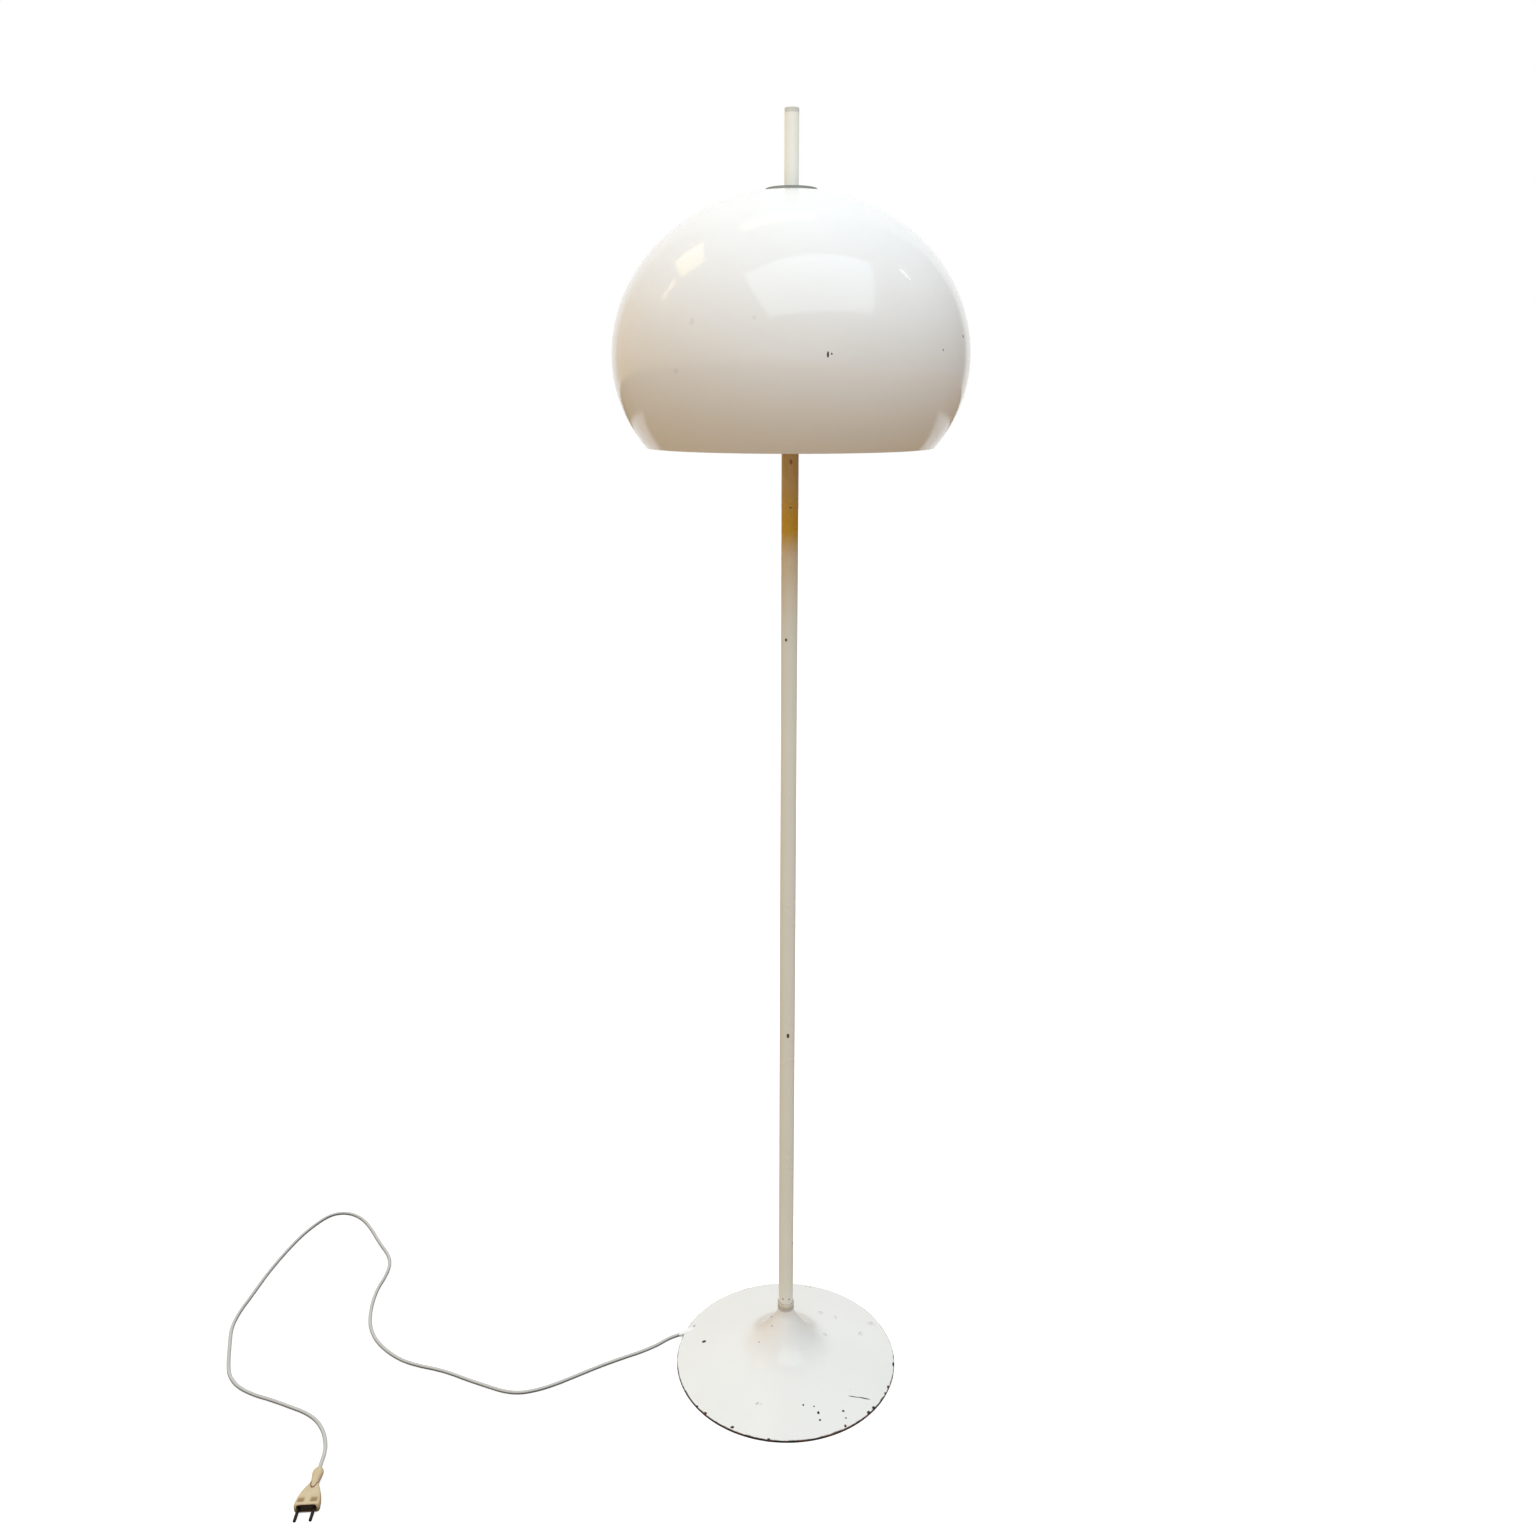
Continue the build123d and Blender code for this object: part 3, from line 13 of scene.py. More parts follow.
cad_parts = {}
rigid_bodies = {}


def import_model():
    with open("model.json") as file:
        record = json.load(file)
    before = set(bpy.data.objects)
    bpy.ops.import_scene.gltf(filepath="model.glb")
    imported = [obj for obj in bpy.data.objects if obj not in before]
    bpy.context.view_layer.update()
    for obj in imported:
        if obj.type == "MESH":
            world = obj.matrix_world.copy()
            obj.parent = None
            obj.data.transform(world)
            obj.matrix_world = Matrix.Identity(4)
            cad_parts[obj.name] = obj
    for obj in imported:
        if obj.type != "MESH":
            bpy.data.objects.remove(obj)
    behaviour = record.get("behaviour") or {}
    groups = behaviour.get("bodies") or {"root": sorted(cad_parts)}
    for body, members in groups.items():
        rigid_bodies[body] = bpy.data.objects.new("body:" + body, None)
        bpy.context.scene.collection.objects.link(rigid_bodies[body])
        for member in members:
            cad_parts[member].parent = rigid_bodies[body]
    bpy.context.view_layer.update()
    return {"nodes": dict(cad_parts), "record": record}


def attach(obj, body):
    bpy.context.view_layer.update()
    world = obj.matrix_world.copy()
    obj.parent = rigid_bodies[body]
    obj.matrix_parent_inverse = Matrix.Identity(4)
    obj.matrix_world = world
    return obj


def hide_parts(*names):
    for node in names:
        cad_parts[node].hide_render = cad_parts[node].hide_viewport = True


for leftover in list(bpy.data.objects):
    bpy.data.objects.remove(leftover)
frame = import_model()
NODES = frame["nodes"]

# ------------------------------------------------------------------ places, as the lamp is built

CORD_RADIUS = 0.0025
CORD_LIE = 0.0026  # height of the cord's middle where it lies on the floor
CORD_ON_FLOOR = [
    (-0.156588, 0.041216),
    (-0.169531, 0.034904),
    (-0.1845, 0.0208),
    (-0.2050, 0.0070),
    (-0.2350, -0.0080),
    (-0.2640, -0.0240),
    (-0.2984, -0.0457),
    (-0.3198, -0.0589),
    (-0.3417, -0.0695),
    (-0.3654, -0.0762),
    (-0.3874, -0.0740),
    (-0.4096, -0.0660),
    (-0.4433, -0.0530),
    (-0.4704, -0.0410),
    (-0.4936, -0.0332),
    (-0.5195, -0.0273),
    (-0.5470, -0.0174),
    (-0.5730, 0.0000),
    (-0.5955, 0.0210),
    (-0.6120, 0.0465),
    (-0.6206, 0.0710),
    (-0.6262, 0.0985),
    (-0.6288, 0.1322),
    (-0.6248, 0.1615),
    (-0.6260, 0.1905),
    (-0.6362, 0.2140),
    (-0.6599, 0.2435),
    (-0.6837, 0.2783),
    (-0.7038, 0.3020),
    (-0.7250, 0.3170),
    (-0.7460, 0.3213),
    (-0.7640, 0.3146),
    (-0.7775, 0.2956),
    (-0.7929, 0.2605),
    (-0.8042, 0.2125),
    (-0.8120, 0.1639),
    (-0.8159, 0.1128),
    (-0.8196, 0.0786),
    (-0.8178, 0.0446),
    (-0.8057, 0.0106),
    (-0.7926, -0.0250),
    (-0.7806, -0.0510),
    (-0.7598, -0.0718),
    (-0.7312, -0.0860),
    (-0.7036, -0.0946),
    (-0.6743, -0.1060),
    (-0.6476, -0.1166),
    (-0.6280, -0.1300),
    (-0.6132, -0.1478),
]
CORD_TO_PLUG = [
    (-0.6039, -0.1660, 0.0027),
    (-0.5980, -0.1834, 0.0050),
    (-0.595911, -0.199384, 0.0069),
    (-0.594673, -0.213530, 0.0069),
]
CORD_ROUTE = [(*spot, CORD_LIE) for spot in CORD_ON_FLOOR] + CORD_TO_PLUG
PLUG_FACE = Vector((-0.5894, -0.2738, 0.0069))
PLUG_ALONG = Vector((-0.08716, 0.99619, 0.0))
PLUG_ACROSS = Vector((0.99619, 0.08716, 0.0))

# Marks read off the photo and placed on the lamp: middle, radius, and how far each is drawn out.

BASE_SMUDGES = [
    ((0.0513, 0.0661, 0.0234), 0.0042, (1.2, 1, 1)),
    ((0.0725, 0.0606, 0.0206), 0.0030, (1, 1.3, 1)),
    ((0.0564, 0.0114, 0.0312), 0.0032, (1, 1, 1)),
    ((0.1265, 0.0632, 0.0077), 0.0045, (1.5, 1, 1)),
    ((0.1087, 0.0325, 0.0156), 0.0036, (1, 1.2, 1)),
    ((0.0364, 0.1453, 0.0051), 0.0040, (1.8, 1, 1)),
    ((-0.0360, -0.1047, 0.0164), 0.0032, (1.4, 1, 1)),
]
BASE_CHIPS = [
    ((-0.1176, 0.0141, 0.0143), 0.0024, (1.3, 1.0, 1)),
    ((-0.0203, 0.0077, 0.0639), 0.0013, (1.2, 2.2, 2.2)),
    ((-0.0193, -0.0108, 0.0633), 0.0009, (1, 1, 1)),
    ((-0.0375, -0.0176, 0.0417), 0.0009, (1, 1, 1)),
    ((0.0242, -0.1065, 0.0168), 0.0012, (1, 1.2, 1)),
    ((0.0387, -0.1073, 0.0154), 0.0010, (1, 1.2, 1)),
    ((0.0444, -0.1155, 0.0128), 0.0017, (1, 1.2, 1)),
    ((0.0465, -0.1252, 0.0100), 0.0014, (1, 1, 1)),
    ((0.0781, -0.1088, 0.0099), 0.0014, (1.3, 1, 1)),
    ((0.0815, -0.1180, 0.0071), 0.0011, (1, 1, 1)),
    ((0.0803, -0.1291, 0.0044), 0.0017, (1, 1.2, 1)),
    ((0.0930, -0.0853, 0.0121), 0.0006, (12.0, 1.0, 6)),
    ((0.1075, -0.0846, 0.0095), 0.0007, (13.0, 1.2, 6)),
    ((0.1132, -0.1048, 0.0039), 0.0028, (1, 1, 1)),
    ((0.1204, -0.0963, 0.0039), 0.0026, (1, 1, 1)),
    ((0.1386, -0.0700, 0.0039), 0.0024, (1, 1, 1)),
    ((0.1430, -0.0583, 0.0039), 0.0022, (1, 1.4, 1)),
    ((0.1539, -0.0148, 0.0039), 0.0024, (1, 1.8, 1)),
    ((-0.1202, -0.0977, 0.0039), 0.0020, (1, 1, 1)),
    ((-0.1083, -0.1102, 0.0039), 0.0026, (1, 1, 1)),
    ((-0.0704, -0.1341, 0.0046), 0.0018, (1.4, 1, 1)),
    ((-0.0217, -0.1540, 0.0039), 0.0026, (1, 1, 1)),
]
POLE_CHIPS = [
    ((0.0011, -0.0099, 0.5171), 0.0018, (1, 1, 1.8)),
    ((0.0096, -0.0029, 0.1946), 0.0016, (1, 1, 1.6)),
    ((-0.0038, -0.0092, 1.0424), 0.0014, (1, 1, 1.4)),
    ((0.0045, -0.0089, 0.1064), 0.0010, (1, 1, 1)),
    ((-0.0040, -0.0092, 0.1073), 0.0010, (1, 1, 1)),
]
POLE_BURN = [((0.0010, -0.0099, 1.2496), 0.0018, (0.9, 1, 1.6))]
SHADE_NICKS = [
    ((0.0367, -0.1981, 1.3619), 0.0015, (0.7, 1, 1.9)),
    ((0.0405, -0.1975, 1.3625), 0.0008, (1, 1, 1.3)),
    ((0.1836, -0.0793, 1.3837), 0.0018, (1, 1, 1)),
    ((0.1578, -0.1251, 1.3685), 0.0008, (1, 1, 1.3)),
]
SHADE_SCUFFS = [
    ((-0.0359, -0.1944, 1.3964), 0.0020, (1, 1, 1)),
    ((-0.0985, -0.1719, 1.3941), 0.0026, (1, 1, 1.4)),
    ((-0.1163, -0.1635, 1.3469), 0.0024, (1.3, 1.3, 1)),
]

# ------------------------------------------------------------------ camera


def place_camera():
    """The photograph's camera: 1.52 m from the pole, 1.32 m up, looking down a little."""
    picture_pixels = 1536
    focal_pixels = 1276.54
    sensor_width = 36.0
    stand_point = (0.0, -1.5171, 1.3246)
    look_down, turn, roll = 0.285, 0.01677, 0.00042
    data = bpy.data.cameras.new("camera")
    data.sensor_width = sensor_width
    data.lens = focal_pixels / picture_pixels * sensor_width
    camera = bpy.data.objects.new("camera", data)
    bpy.context.scene.collection.objects.link(camera)
    camera.matrix_world = (
        Matrix.Translation(stand_point)
        @ Matrix.Rotation(turn, 4, "Z")
        @ Matrix.Rotation(math.pi / 2 - look_down, 4, "X")
        @ Matrix.Rotation(roll, 4, "Z")
    )
    bpy.context.scene.camera = camera


place_camera()

# ------------------------------------------------------------------ colours and node helpers

NOISE_MIDDLE = 0.5
MIX_SHARE, MIX_FIRST, MIX_SECOND, MIX_RESULT = 0, 6, 7, 2  # the colour sockets of a Mix node
FLOAT, VECTOR = "NodeSocketFloat", "NodeSocketVector"


def paint(red, green, blue):
    """A colour as seen on a screen, 0 to 255 each, as linear light with alpha."""
    brightest = 255
    toe_end, toe_slope, lift, power = 0.04045, 12.92, 0.055, 2.4
    linear = []
    for value in (red, green, blue):
        share = value / brightest
        if share <= toe_end:
            linear.append(share / toe_slope)
        else:
            linear.append(((share + lift) / (1 + lift)) ** power)
    return (*linear, 1.0)


def connect(tree, value, socket):
    """Links a socket's output, or sets a plain value."""
    if isinstance(value, bpy.types.NodeSocket):
        tree.links.new(value, socket)
    else:
        socket.default_value = value


def new_node(tree, kind, settings=None, **inputs):
    """A node of a kind, with its settings; inputs go by name, or by number as i0, i1 and so on."""
    node = tree.nodes.new(kind)
    for key, value in (settings or {}).items():
        setattr(node, key, value)
    for key, value in inputs.items():
        by_number = key[0] == "i" and key[1:].isdigit()
        connect(tree, value, node.inputs[int(key[1:]) if by_number else key.replace("_", " ")])
    return node


def maths(tree, operation, first, second=0.0, clamp=False):
    """One sum of two values."""
    settings = {"operation": operation, "use_clamp": clamp}
    return new_node(tree, "ShaderNodeMath", settings, i0=first, i1=second).outputs[0]


def times(tree, first, second):
    """The product of two values."""
    return maths(tree, "MULTIPLY", first, second)


def spread_from(tree, value, spread, least):
    """A value from 0 to 1 spread over a range that starts at the least value."""
    return maths(tree, "ADD", times(tree, value, spread), least)


def vector_maths(tree, operation, first, **second):
    """One sum of vectors; a length and a dot product come out as a value."""
    node = new_node(tree, "ShaderNodeVectorMath", {"operation": operation}, i0=first, **second)
    return node.outputs["Value" if operation in ("LENGTH", "DOT_PRODUCT") else "Vector"]


def parts_of(tree, vector):
    """The three parts of a vector, by the names X, Y and Z."""
    return new_node(tree, "ShaderNodeSeparateXYZ", Vector=vector).outputs


def mixed(tree, share, first, second):
    """Two colours mixed by a share."""
    node = new_node(tree, "ShaderNodeMix", {"data_type": "RGBA"})
    connect(tree, share, node.inputs[MIX_SHARE])
    connect(tree, first, node.inputs[MIX_FIRST])
    connect(tree, second, node.inputs[MIX_SECOND])
    return node.outputs[MIX_RESULT]


def ramp(tree, value, low, high, start=0.0, end=1.0):
    """A value between low and high turned smoothly into start to end."""
    settings = {"interpolation_type": "SMOOTHSTEP"}
    inputs = {"i0": value, "i1": low, "i2": high, "i3": start, "i4": end}
    return new_node(tree, "ShaderNodeMapRange", settings, **inputs).outputs[0]


def group_of(name, inputs, outputs):
    """An empty shader node group with its sockets, and its input and output nodes."""
    group = bpy.data.node_groups.new(name, "ShaderNodeTree")
    for label, kind, value in inputs:
        socket = group.interface.new_socket(label, in_out="INPUT", socket_type=kind)
        if value is not None:
            socket.default_value = value
    for label, kind in outputs:
        group.interface.new_socket(label, in_out="OUTPUT", socket_type=kind)
    return group, group.nodes.new("NodeGroupInput"), group.nodes.new("NodeGroupOutput")


def placed(tree, group, **inputs):
    """A node group placed in a material with its own values."""
    return new_node(tree, "ShaderNodeGroup", {"node_tree": group}, **inputs)


# ------------------------------------------------------------------ shared effects


def make_chip_group():
    """A ragged chip: 1 inside, 0 outside, round a middle, drawn out along one direction."""
    whole_to, gone_from = 0.9, 1.15
    group, given, result = group_of(
        "ragged chip",
        [
            ("Vector", VECTOR, None),
            ("Middle", VECTOR, (0, 0, 0)),
            ("Radius", FLOAT, 0.001),
            ("Stretch", VECTOR, (1, 1, 1)),
            ("Raggedness", FLOAT, 0.5),
        ],
        [("Mask", FLOAT)],
    )
    place = given.outputs["Vector"]
    away = vector_maths(group, "SUBTRACT", place, i1=given.outputs["Middle"])
    scaled = vector_maths(group, "DIVIDE", away, i1=given.outputs["Stretch"])
    length = vector_maths(group, "LENGTH", scaled)
    noise = new_node(group, "ShaderNodeTexNoise", Vector=place, Scale=900.0, Detail=3.0)
    wobble = maths(group, "SUBTRACT", noise.outputs["Fac"], NOISE_MIDDLE)
    wobble = times(group, wobble, given.outputs["Raggedness"])
    share = maths(group, "DIVIDE", length, given.outputs["Radius"])
    share = maths(group, "ADD", share, wobble)
    mask = ramp(group, share, whole_to, gone_from, 1.0, 0.0)
    group.links.new(mask, result.inputs["Mask"])
    return group


def make_mottle_group():
    """Slow and fine unevenness of a paint or plastic, each as a value about the noise's middle."""
    group, given, result = group_of(
        "mottle",
        [("Vector", VECTOR, None), ("Slow Scale", FLOAT, 6.0), ("Fine Scale", FLOAT, 400.0)],
        [("Slow", FLOAT), ("Fine", FLOAT)],
    )
    place, kind = given.outputs["Vector"], "ShaderNodeTexNoise"
    slow_scale, fine_scale = given.outputs["Slow Scale"], given.outputs["Fine Scale"]
    slow = new_node(group, kind, Vector=place, Scale=slow_scale, Detail=4.0, Roughness=0.55)
    fine = new_node(group, kind, Vector=place, Scale=fine_scale, Detail=2.0)
    group.links.new(slow.outputs["Fac"], result.inputs["Slow"])
    group.links.new(fine.outputs["Fac"], result.inputs["Fine"])
    return group


def make_specks_group():
    """Small scattered specks, each a rough dot, in the cells whose random value is low enough."""
    raggedness = 0.12
    group, given, result = group_of(
        "specks",
        [
            ("Vector", VECTOR, None),
            ("Scale", FLOAT, 60.0),
            ("Share", FLOAT, 0.1),
            ("Size", FLOAT, 0.12),
        ],
        [("Mask", FLOAT)],
    )
    place, scale = given.outputs["Vector"], given.outputs["Scale"]
    noise = new_node(group, "ShaderNodeTexNoise", Vector=place, Scale=700.0, Detail=2.0)
    settings = {"feature": "F1"}
    cells = new_node(group, "ShaderNodeTexVoronoi", settings, Vector=place, Scale=scale)
    picked = new_node(group, "ShaderNodeSeparateColor", Color=cells.outputs["Color"])
    chosen = maths(group, "LESS_THAN", picked.outputs[0], given.outputs["Share"])
    size = times(group, given.outputs["Size"], picked.outputs[1])
    wobble = maths(group, "SUBTRACT", noise.outputs["Fac"], NOISE_MIDDLE)
    wobble = times(group, wobble, raggedness)
    reach = maths(group, "ADD", cells.outputs["Distance"], wobble)
    inside = maths(group, "LESS_THAN", reach, size)
    group.links.new(times(group, chosen, inside), result.inputs["Mask"])
    return group


def make_scratch_group():
    """Hair scratches: thin lines in three directions, broken up."""
    turns = (0.3, 1.4, 2.5)
    tilt_y, tilt_z = 0.7, 1.9
    drawn_out = (1.0, 0.12, 1.0)
    broken_to, kept_from = 0.55, 0.62
    group, given, result = group_of(
        "hair scratches",
        [("Vector", VECTOR, None), ("Scale", FLOAT, 14.0), ("Width", FLOAT, 0.004)],
        [("Mask", FLOAT)],
    )
    place, scale = given.outputs["Vector"], given.outputs["Scale"]
    total = None
    for turn in turns:
        rotation = (turn, turn * tilt_y, turn * tilt_z)
        inputs = {"Vector": place, "Rotation": rotation, "Scale": drawn_out}
        turned = new_node(group, "ShaderNodeMapping", **inputs).outputs[0]
        bend = new_node(group, "ShaderNodeTexNoise", Vector=turned, Scale=scale, Detail=1.0)
        line = maths(group, "SUBTRACT", bend.outputs["Fac"], NOISE_MIDDLE)
        line = maths(group, "ABSOLUTE", line)
        line = maths(group, "LESS_THAN", line, given.outputs["Width"])
        broken = new_node(group, "ShaderNodeTexNoise", Vector=place, Scale=22.0, Detail=1.0)
        kept = ramp(group, broken.outputs["Fac"], broken_to, kept_from)
        line = times(group, line, kept)
        total = line if total is None else maths(group, "MAXIMUM", total, line)
    group.links.new(total, result.inputs["Mask"])
    return group


CHIP = make_chip_group()
MOTTLE = make_mottle_group()
SPECKS = make_specks_group()
SCRATCHES = make_scratch_group()


def finish_of(name, roughness, metallic=0.0, specular=0.5):
    """A new material: its tree, its shader and its object coordinates."""
    material = bpy.data.materials.new(name)
    material.use_nodes = True
    tree = material.node_tree
    shader = tree.nodes["Principled BSDF"]
    shader.inputs["Roughness"].default_value = roughness
    shader.inputs["Metallic"].default_value = metallic
    shader.inputs["Specular IOR Level"].default_value = specular
    place = new_node(tree, "ShaderNodeTexCoord").outputs["Object"]
    return material, tree, shader, place


def give_bump(tree, shader, height, distance):
    """Raises the surface by a height value."""
    bump = new_node(tree, "ShaderNodeBump", Height=height, Distance=distance, Strength=1.0)
    tree.links.new(bump.outputs["Normal"], shader.inputs["Normal"])


def mottled(tree, place, slow_scale, fine_scale):
    """The slow and the fine unevenness of a finish."""
    group = placed(tree, MOTTLE, Vector=place, Slow_Scale=slow_scale, Fine_Scale=fine_scale)
    return group.outputs["Slow"], group.outputs["Fine"]


def specks(tree, place, scale, share, size):
    """Scattered specks, as a mask."""
    return placed(tree, SPECKS, Vector=place, Scale=scale, Share=share, Size=size).outputs[0]


def chips(tree, place, marks):
    """All the chips of a list, as one mask."""
    total = None
    for middle, radius, stretch in marks:
        chip = placed(tree, CHIP, Vector=place, Middle=middle, Radius=radius, Stretch=stretch)
        mask = chip.outputs[0]
        total = mask if total is None else maths(tree, "MAXIMUM", total, mask)
    return total


def within(tree, value, low_out, low_in, high_in, high_out):
    """1 where a value lies between two limits, falling off smoothly past them."""
    rising = ramp(tree, value, low_out, low_in)
    return times(tree, rising, ramp(tree, value, high_in, high_out, 1.0, 0.0))


# ------------------------------------------------------------------ finishes


def white_enamel():
    """The base: glossy white enamel, a little dulled, chipped to rust; its lower edge carries
    painted shade with rust patches, its neck a painted reflection, and the joint under the collar
    painted shade.
    """
    side_reach = 0.03
    neck_radius, flare_radius, neck_reflection_share = 0.02, 0.075, 0.12
    joint_from, joint_full, joint_share = 0.0866, 0.0869, 0.45
    rim_radius, edge_full, edge_gone, edge_waver = 0.153, 0.0043, 0.0050, 0.0020
    smudge_share, dust_share = 0.5, 0.4
    material, tree, shader, place = finish_of("white enamel", 0.2)
    along = parts_of(tree, place)
    height_up = along["Z"]
    across = new_node(tree, "ShaderNodeCombineXYZ", X=along["X"], Y=along["Y"]).outputs[0]
    radius = vector_maths(tree, "LENGTH", across)
    slow, fine = mottled(tree, place, 9.0, 500.0)
    colour = mixed(tree, slow, paint(238, 237, 233), paint(229, 228, 223))

    # Painted reflection round the neck and flare: warm pink on the left, grey on the right.
    side = ramp(tree, along["X"], -side_reach, side_reach)
    neck_reflection = ramp(tree, radius, neck_radius, flare_radius, neck_reflection_share, 0.0)
    painted_reflection = mixed(tree, side, paint(232, 205, 190), paint(186, 192, 194))
    colour = mixed(tree, neck_reflection, colour, painted_reflection)
    # Painted shade in the joint under the collar, at the top of the neck.
    joint_shade = ramp(tree, height_up, joint_from, joint_full, 0.0, joint_share)
    colour = mixed(tree, joint_shade, colour, paint(120, 104, 84))

    soft = new_node(tree, "ShaderNodeTexNoise", Vector=place, Scale=320.0, Detail=3.0)
    patchy = ramp(tree, soft.outputs["Fac"], 0.4, 0.7)
    smudges = times(tree, chips(tree, place, BASE_SMUDGES), patchy)
    colour = mixed(tree, times(tree, smudges, smudge_share), colour, paint(130, 128, 122))
    dust = specks(tree, place, 45.0, 0.1, 0.05)
    colour = mixed(tree, times(tree, dust, dust_share), colour, paint(120, 108, 92))

    dark_marks = chips(tree, place, BASE_CHIPS)
    inputs = {"Vector": place, "Scale": 70.0, "Detail": 5.0, "Roughness": 0.7}
    edge_noise = new_node(tree, "ShaderNodeTexNoise", **inputs).outputs["Fac"]
    edge_height = maths(tree, "ADD", height_up, times(tree, edge_noise, edge_waver))
    # Painted shade on the base's lower edge, a dark band all round; it joins the chips and takes
    # their rust colours.
    edge_shade = ramp(tree, edge_height, edge_full, edge_gone, 1.0, 0.0)
    edge_shade = times(tree, edge_shade, maths(tree, "GREATER_THAN", radius, rim_radius))
    dark_marks = maths(tree, "MAXIMUM", dark_marks, edge_shade)
    rust_noise = new_node(tree, "ShaderNodeTexNoise", Vector=place, Scale=60.0, Detail=3.0)
    rusted = ramp(tree, rust_noise.outputs["Fac"], 0.45, 0.62)
    rust_and_edge_shade = mixed(tree, rusted, paint(34, 26, 24), paint(92, 50, 36))
    colour = mixed(tree, dark_marks, colour, rust_and_edge_shade)
    tree.links.new(colour, shader.inputs["Base Color"])

    rough = spread_from(tree, slow, 0.16, 0.14)
    rough = maths(tree, "ADD", rough, times(tree, dark_marks, 0.5), clamp=True)
    tree.links.new(rough, shader.inputs["Roughness"])
    height = maths(tree, "SUBTRACT", times(tree, fine, 0.12), dark_marks)
    give_bump(tree, shader, height, 0.0002)
    return material


def cream_enamel():
    """The pole: cream enamel with a brown band under the shade that is yellowed paint together
    with painted shade and a warm painted reflection, paler above, with a few chips.
    """
    pale_from, pale_full = 1.50, 1.54
    band_top_full, band_top_gone, band_waver = 1.44, 1.50, 0.05
    yellow_from, yellow_full, yellow_share = 1.06, 1.18, 0.45
    brown_from, brown_full = 1.163, 1.203
    deep_band_from, deep_band_full = 1.21, 1.26
    material, tree, shader, place = finish_of("cream enamel", 0.26)
    height_up = parts_of(tree, place)["Z"]
    slow, fine = mottled(tree, place, 7.0, 600.0)
    colour = mixed(tree, slow, paint(236, 236, 226), paint(225, 224, 213))
    pale = mixed(tree, slow, paint(250, 250, 242), paint(243, 242, 232))
    colour = mixed(tree, ramp(tree, height_up, pale_from, pale_full), colour, pale)

    # Brown band under the shade: yellowed enamel together with the shade's painted shadow and a
    # warm painted reflection.
    warped = maths(tree, "ADD", height_up, times(tree, slow, band_waver))
    above = ramp(tree, height_up, band_top_full, band_top_gone, 1.0, 0.0)
    yellowed_and_shaded = ramp(tree, warped, yellow_from, yellow_full, 0.0, yellow_share)
    yellowed_and_shaded = times(tree, yellowed_and_shaded, above)
    browned_and_shaded = times(tree, ramp(tree, warped, brown_from, brown_full), above)
    colour = mixed(tree, yellowed_and_shaded, colour, paint(226, 184, 110))
    deep_brown_and_shade = ramp(tree, warped, deep_band_from, deep_band_full)
    deep_brown_and_shade = mixed(tree, deep_brown_and_shade, paint(220, 172, 40), paint(218, 182, 118))
    colour = mixed(tree, browned_and_shaded, colour, deep_brown_and_shade)

    worn = specks(tree, place, 36.0, 0.14, 0.06)
    dark_marks = maths(tree, "MAXIMUM", worn, chips(tree, place, POLE_CHIPS))
    colour = mixed(tree, dark_marks, colour, paint(84, 64, 50))
    colour = mixed(tree, chips(tree, place, POLE_BURN), colour, paint(186, 112, 52))
    tree.links.new(colour, shader.inputs["Base Color"])
    tree.links.new(spread_from(tree, slow, 0.2, 0.16), shader.inputs["Roughness"])
    give_bump(tree, shader, maths(tree, "SUBTRACT", fine, dark_marks), 0.00008)
    return material


def opal_acrylic():
    """The shade: polished opal acrylic, milky, faintly yellowed, with fine swirls and nicks."""
    scuff_share, dust_share, scratch_roughness = 0.10, 0.25, 0.12
    material, tree, shader, place = finish_of("opal acrylic", 0.08)
    slow, _ = mottled(tree, place, 4.0, 900.0)
    colour = mixed(tree, slow, paint(243, 243, 242), paint(238, 236, 232))
    nicked = chips(tree, place, SHADE_NICKS)
    scuffs = times(tree, chips(tree, place, SHADE_SCUFFS), scuff_share)
    dust = times(tree, specks(tree, place, 30.0, 0.08, 0.03), dust_share)
    marks = maths(tree, "MAXIMUM", maths(tree, "MAXIMUM", nicked, scuffs), dust)
    colour = mixed(tree, marks, colour, paint(58, 46, 38))
    tree.links.new(colour, shader.inputs["Base Color"])

    scratched = placed(tree, SCRATCHES, Vector=place, Scale=9.0, Width=0.0016).outputs[0]
    rough = spread_from(tree, slow, 0.06, 0.05)
    rough = maths(tree, "ADD", rough, times(tree, scratched, scratch_roughness), clamp=True)
    tree.links.new(rough, shader.inputs["Roughness"])
    shader.inputs["Subsurface Weight"].default_value = 0.25
    shader.inputs["Subsurface Radius"].default_value = (0.012, 0.011, 0.010)
    shader.inputs["Subsurface Scale"].default_value = 1.0
    give_bump(tree, shader, maths(tree, "SUBTRACT", 0.0, nicked), 0.0003)
    return material


def plain_metal(name, light, dark, roughness, grain=300.0):
    """A metal with fine grain and slow tarnish."""
    roughness_spread = 0.2
    material, tree, shader, place = finish_of(name, roughness, metallic=1.0)
    slow, fine = mottled(tree, place, 30.0, grain)
    tree.links.new(mixed(tree, slow, light, dark), shader.inputs["Base Color"])
    rough = spread_from(tree, fine, roughness_spread, roughness - roughness_spread / 2)
    tree.links.new(rough, shader.inputs["Roughness"])
    give_bump(tree, shader, fine, 0.00004)
    return material


def plain_plastic(name, light, dark, roughness):
    """A moulded plastic, rubber or glaze with slow colour change and a fine skin."""
    roughness_spread = 0.16
    material, tree, shader, place = finish_of(name, roughness)
    slow, fine = mottled(tree, place, 40.0, 500.0)
    tree.links.new(mixed(tree, slow, light, dark), shader.inputs["Base Color"])
    rough = spread_from(tree, slow, roughness_spread, roughness - roughness_spread / 2)
    tree.links.new(rough, shader.inputs["Roughness"])
    give_bump(tree, shader, fine, 0.00006)
    return material


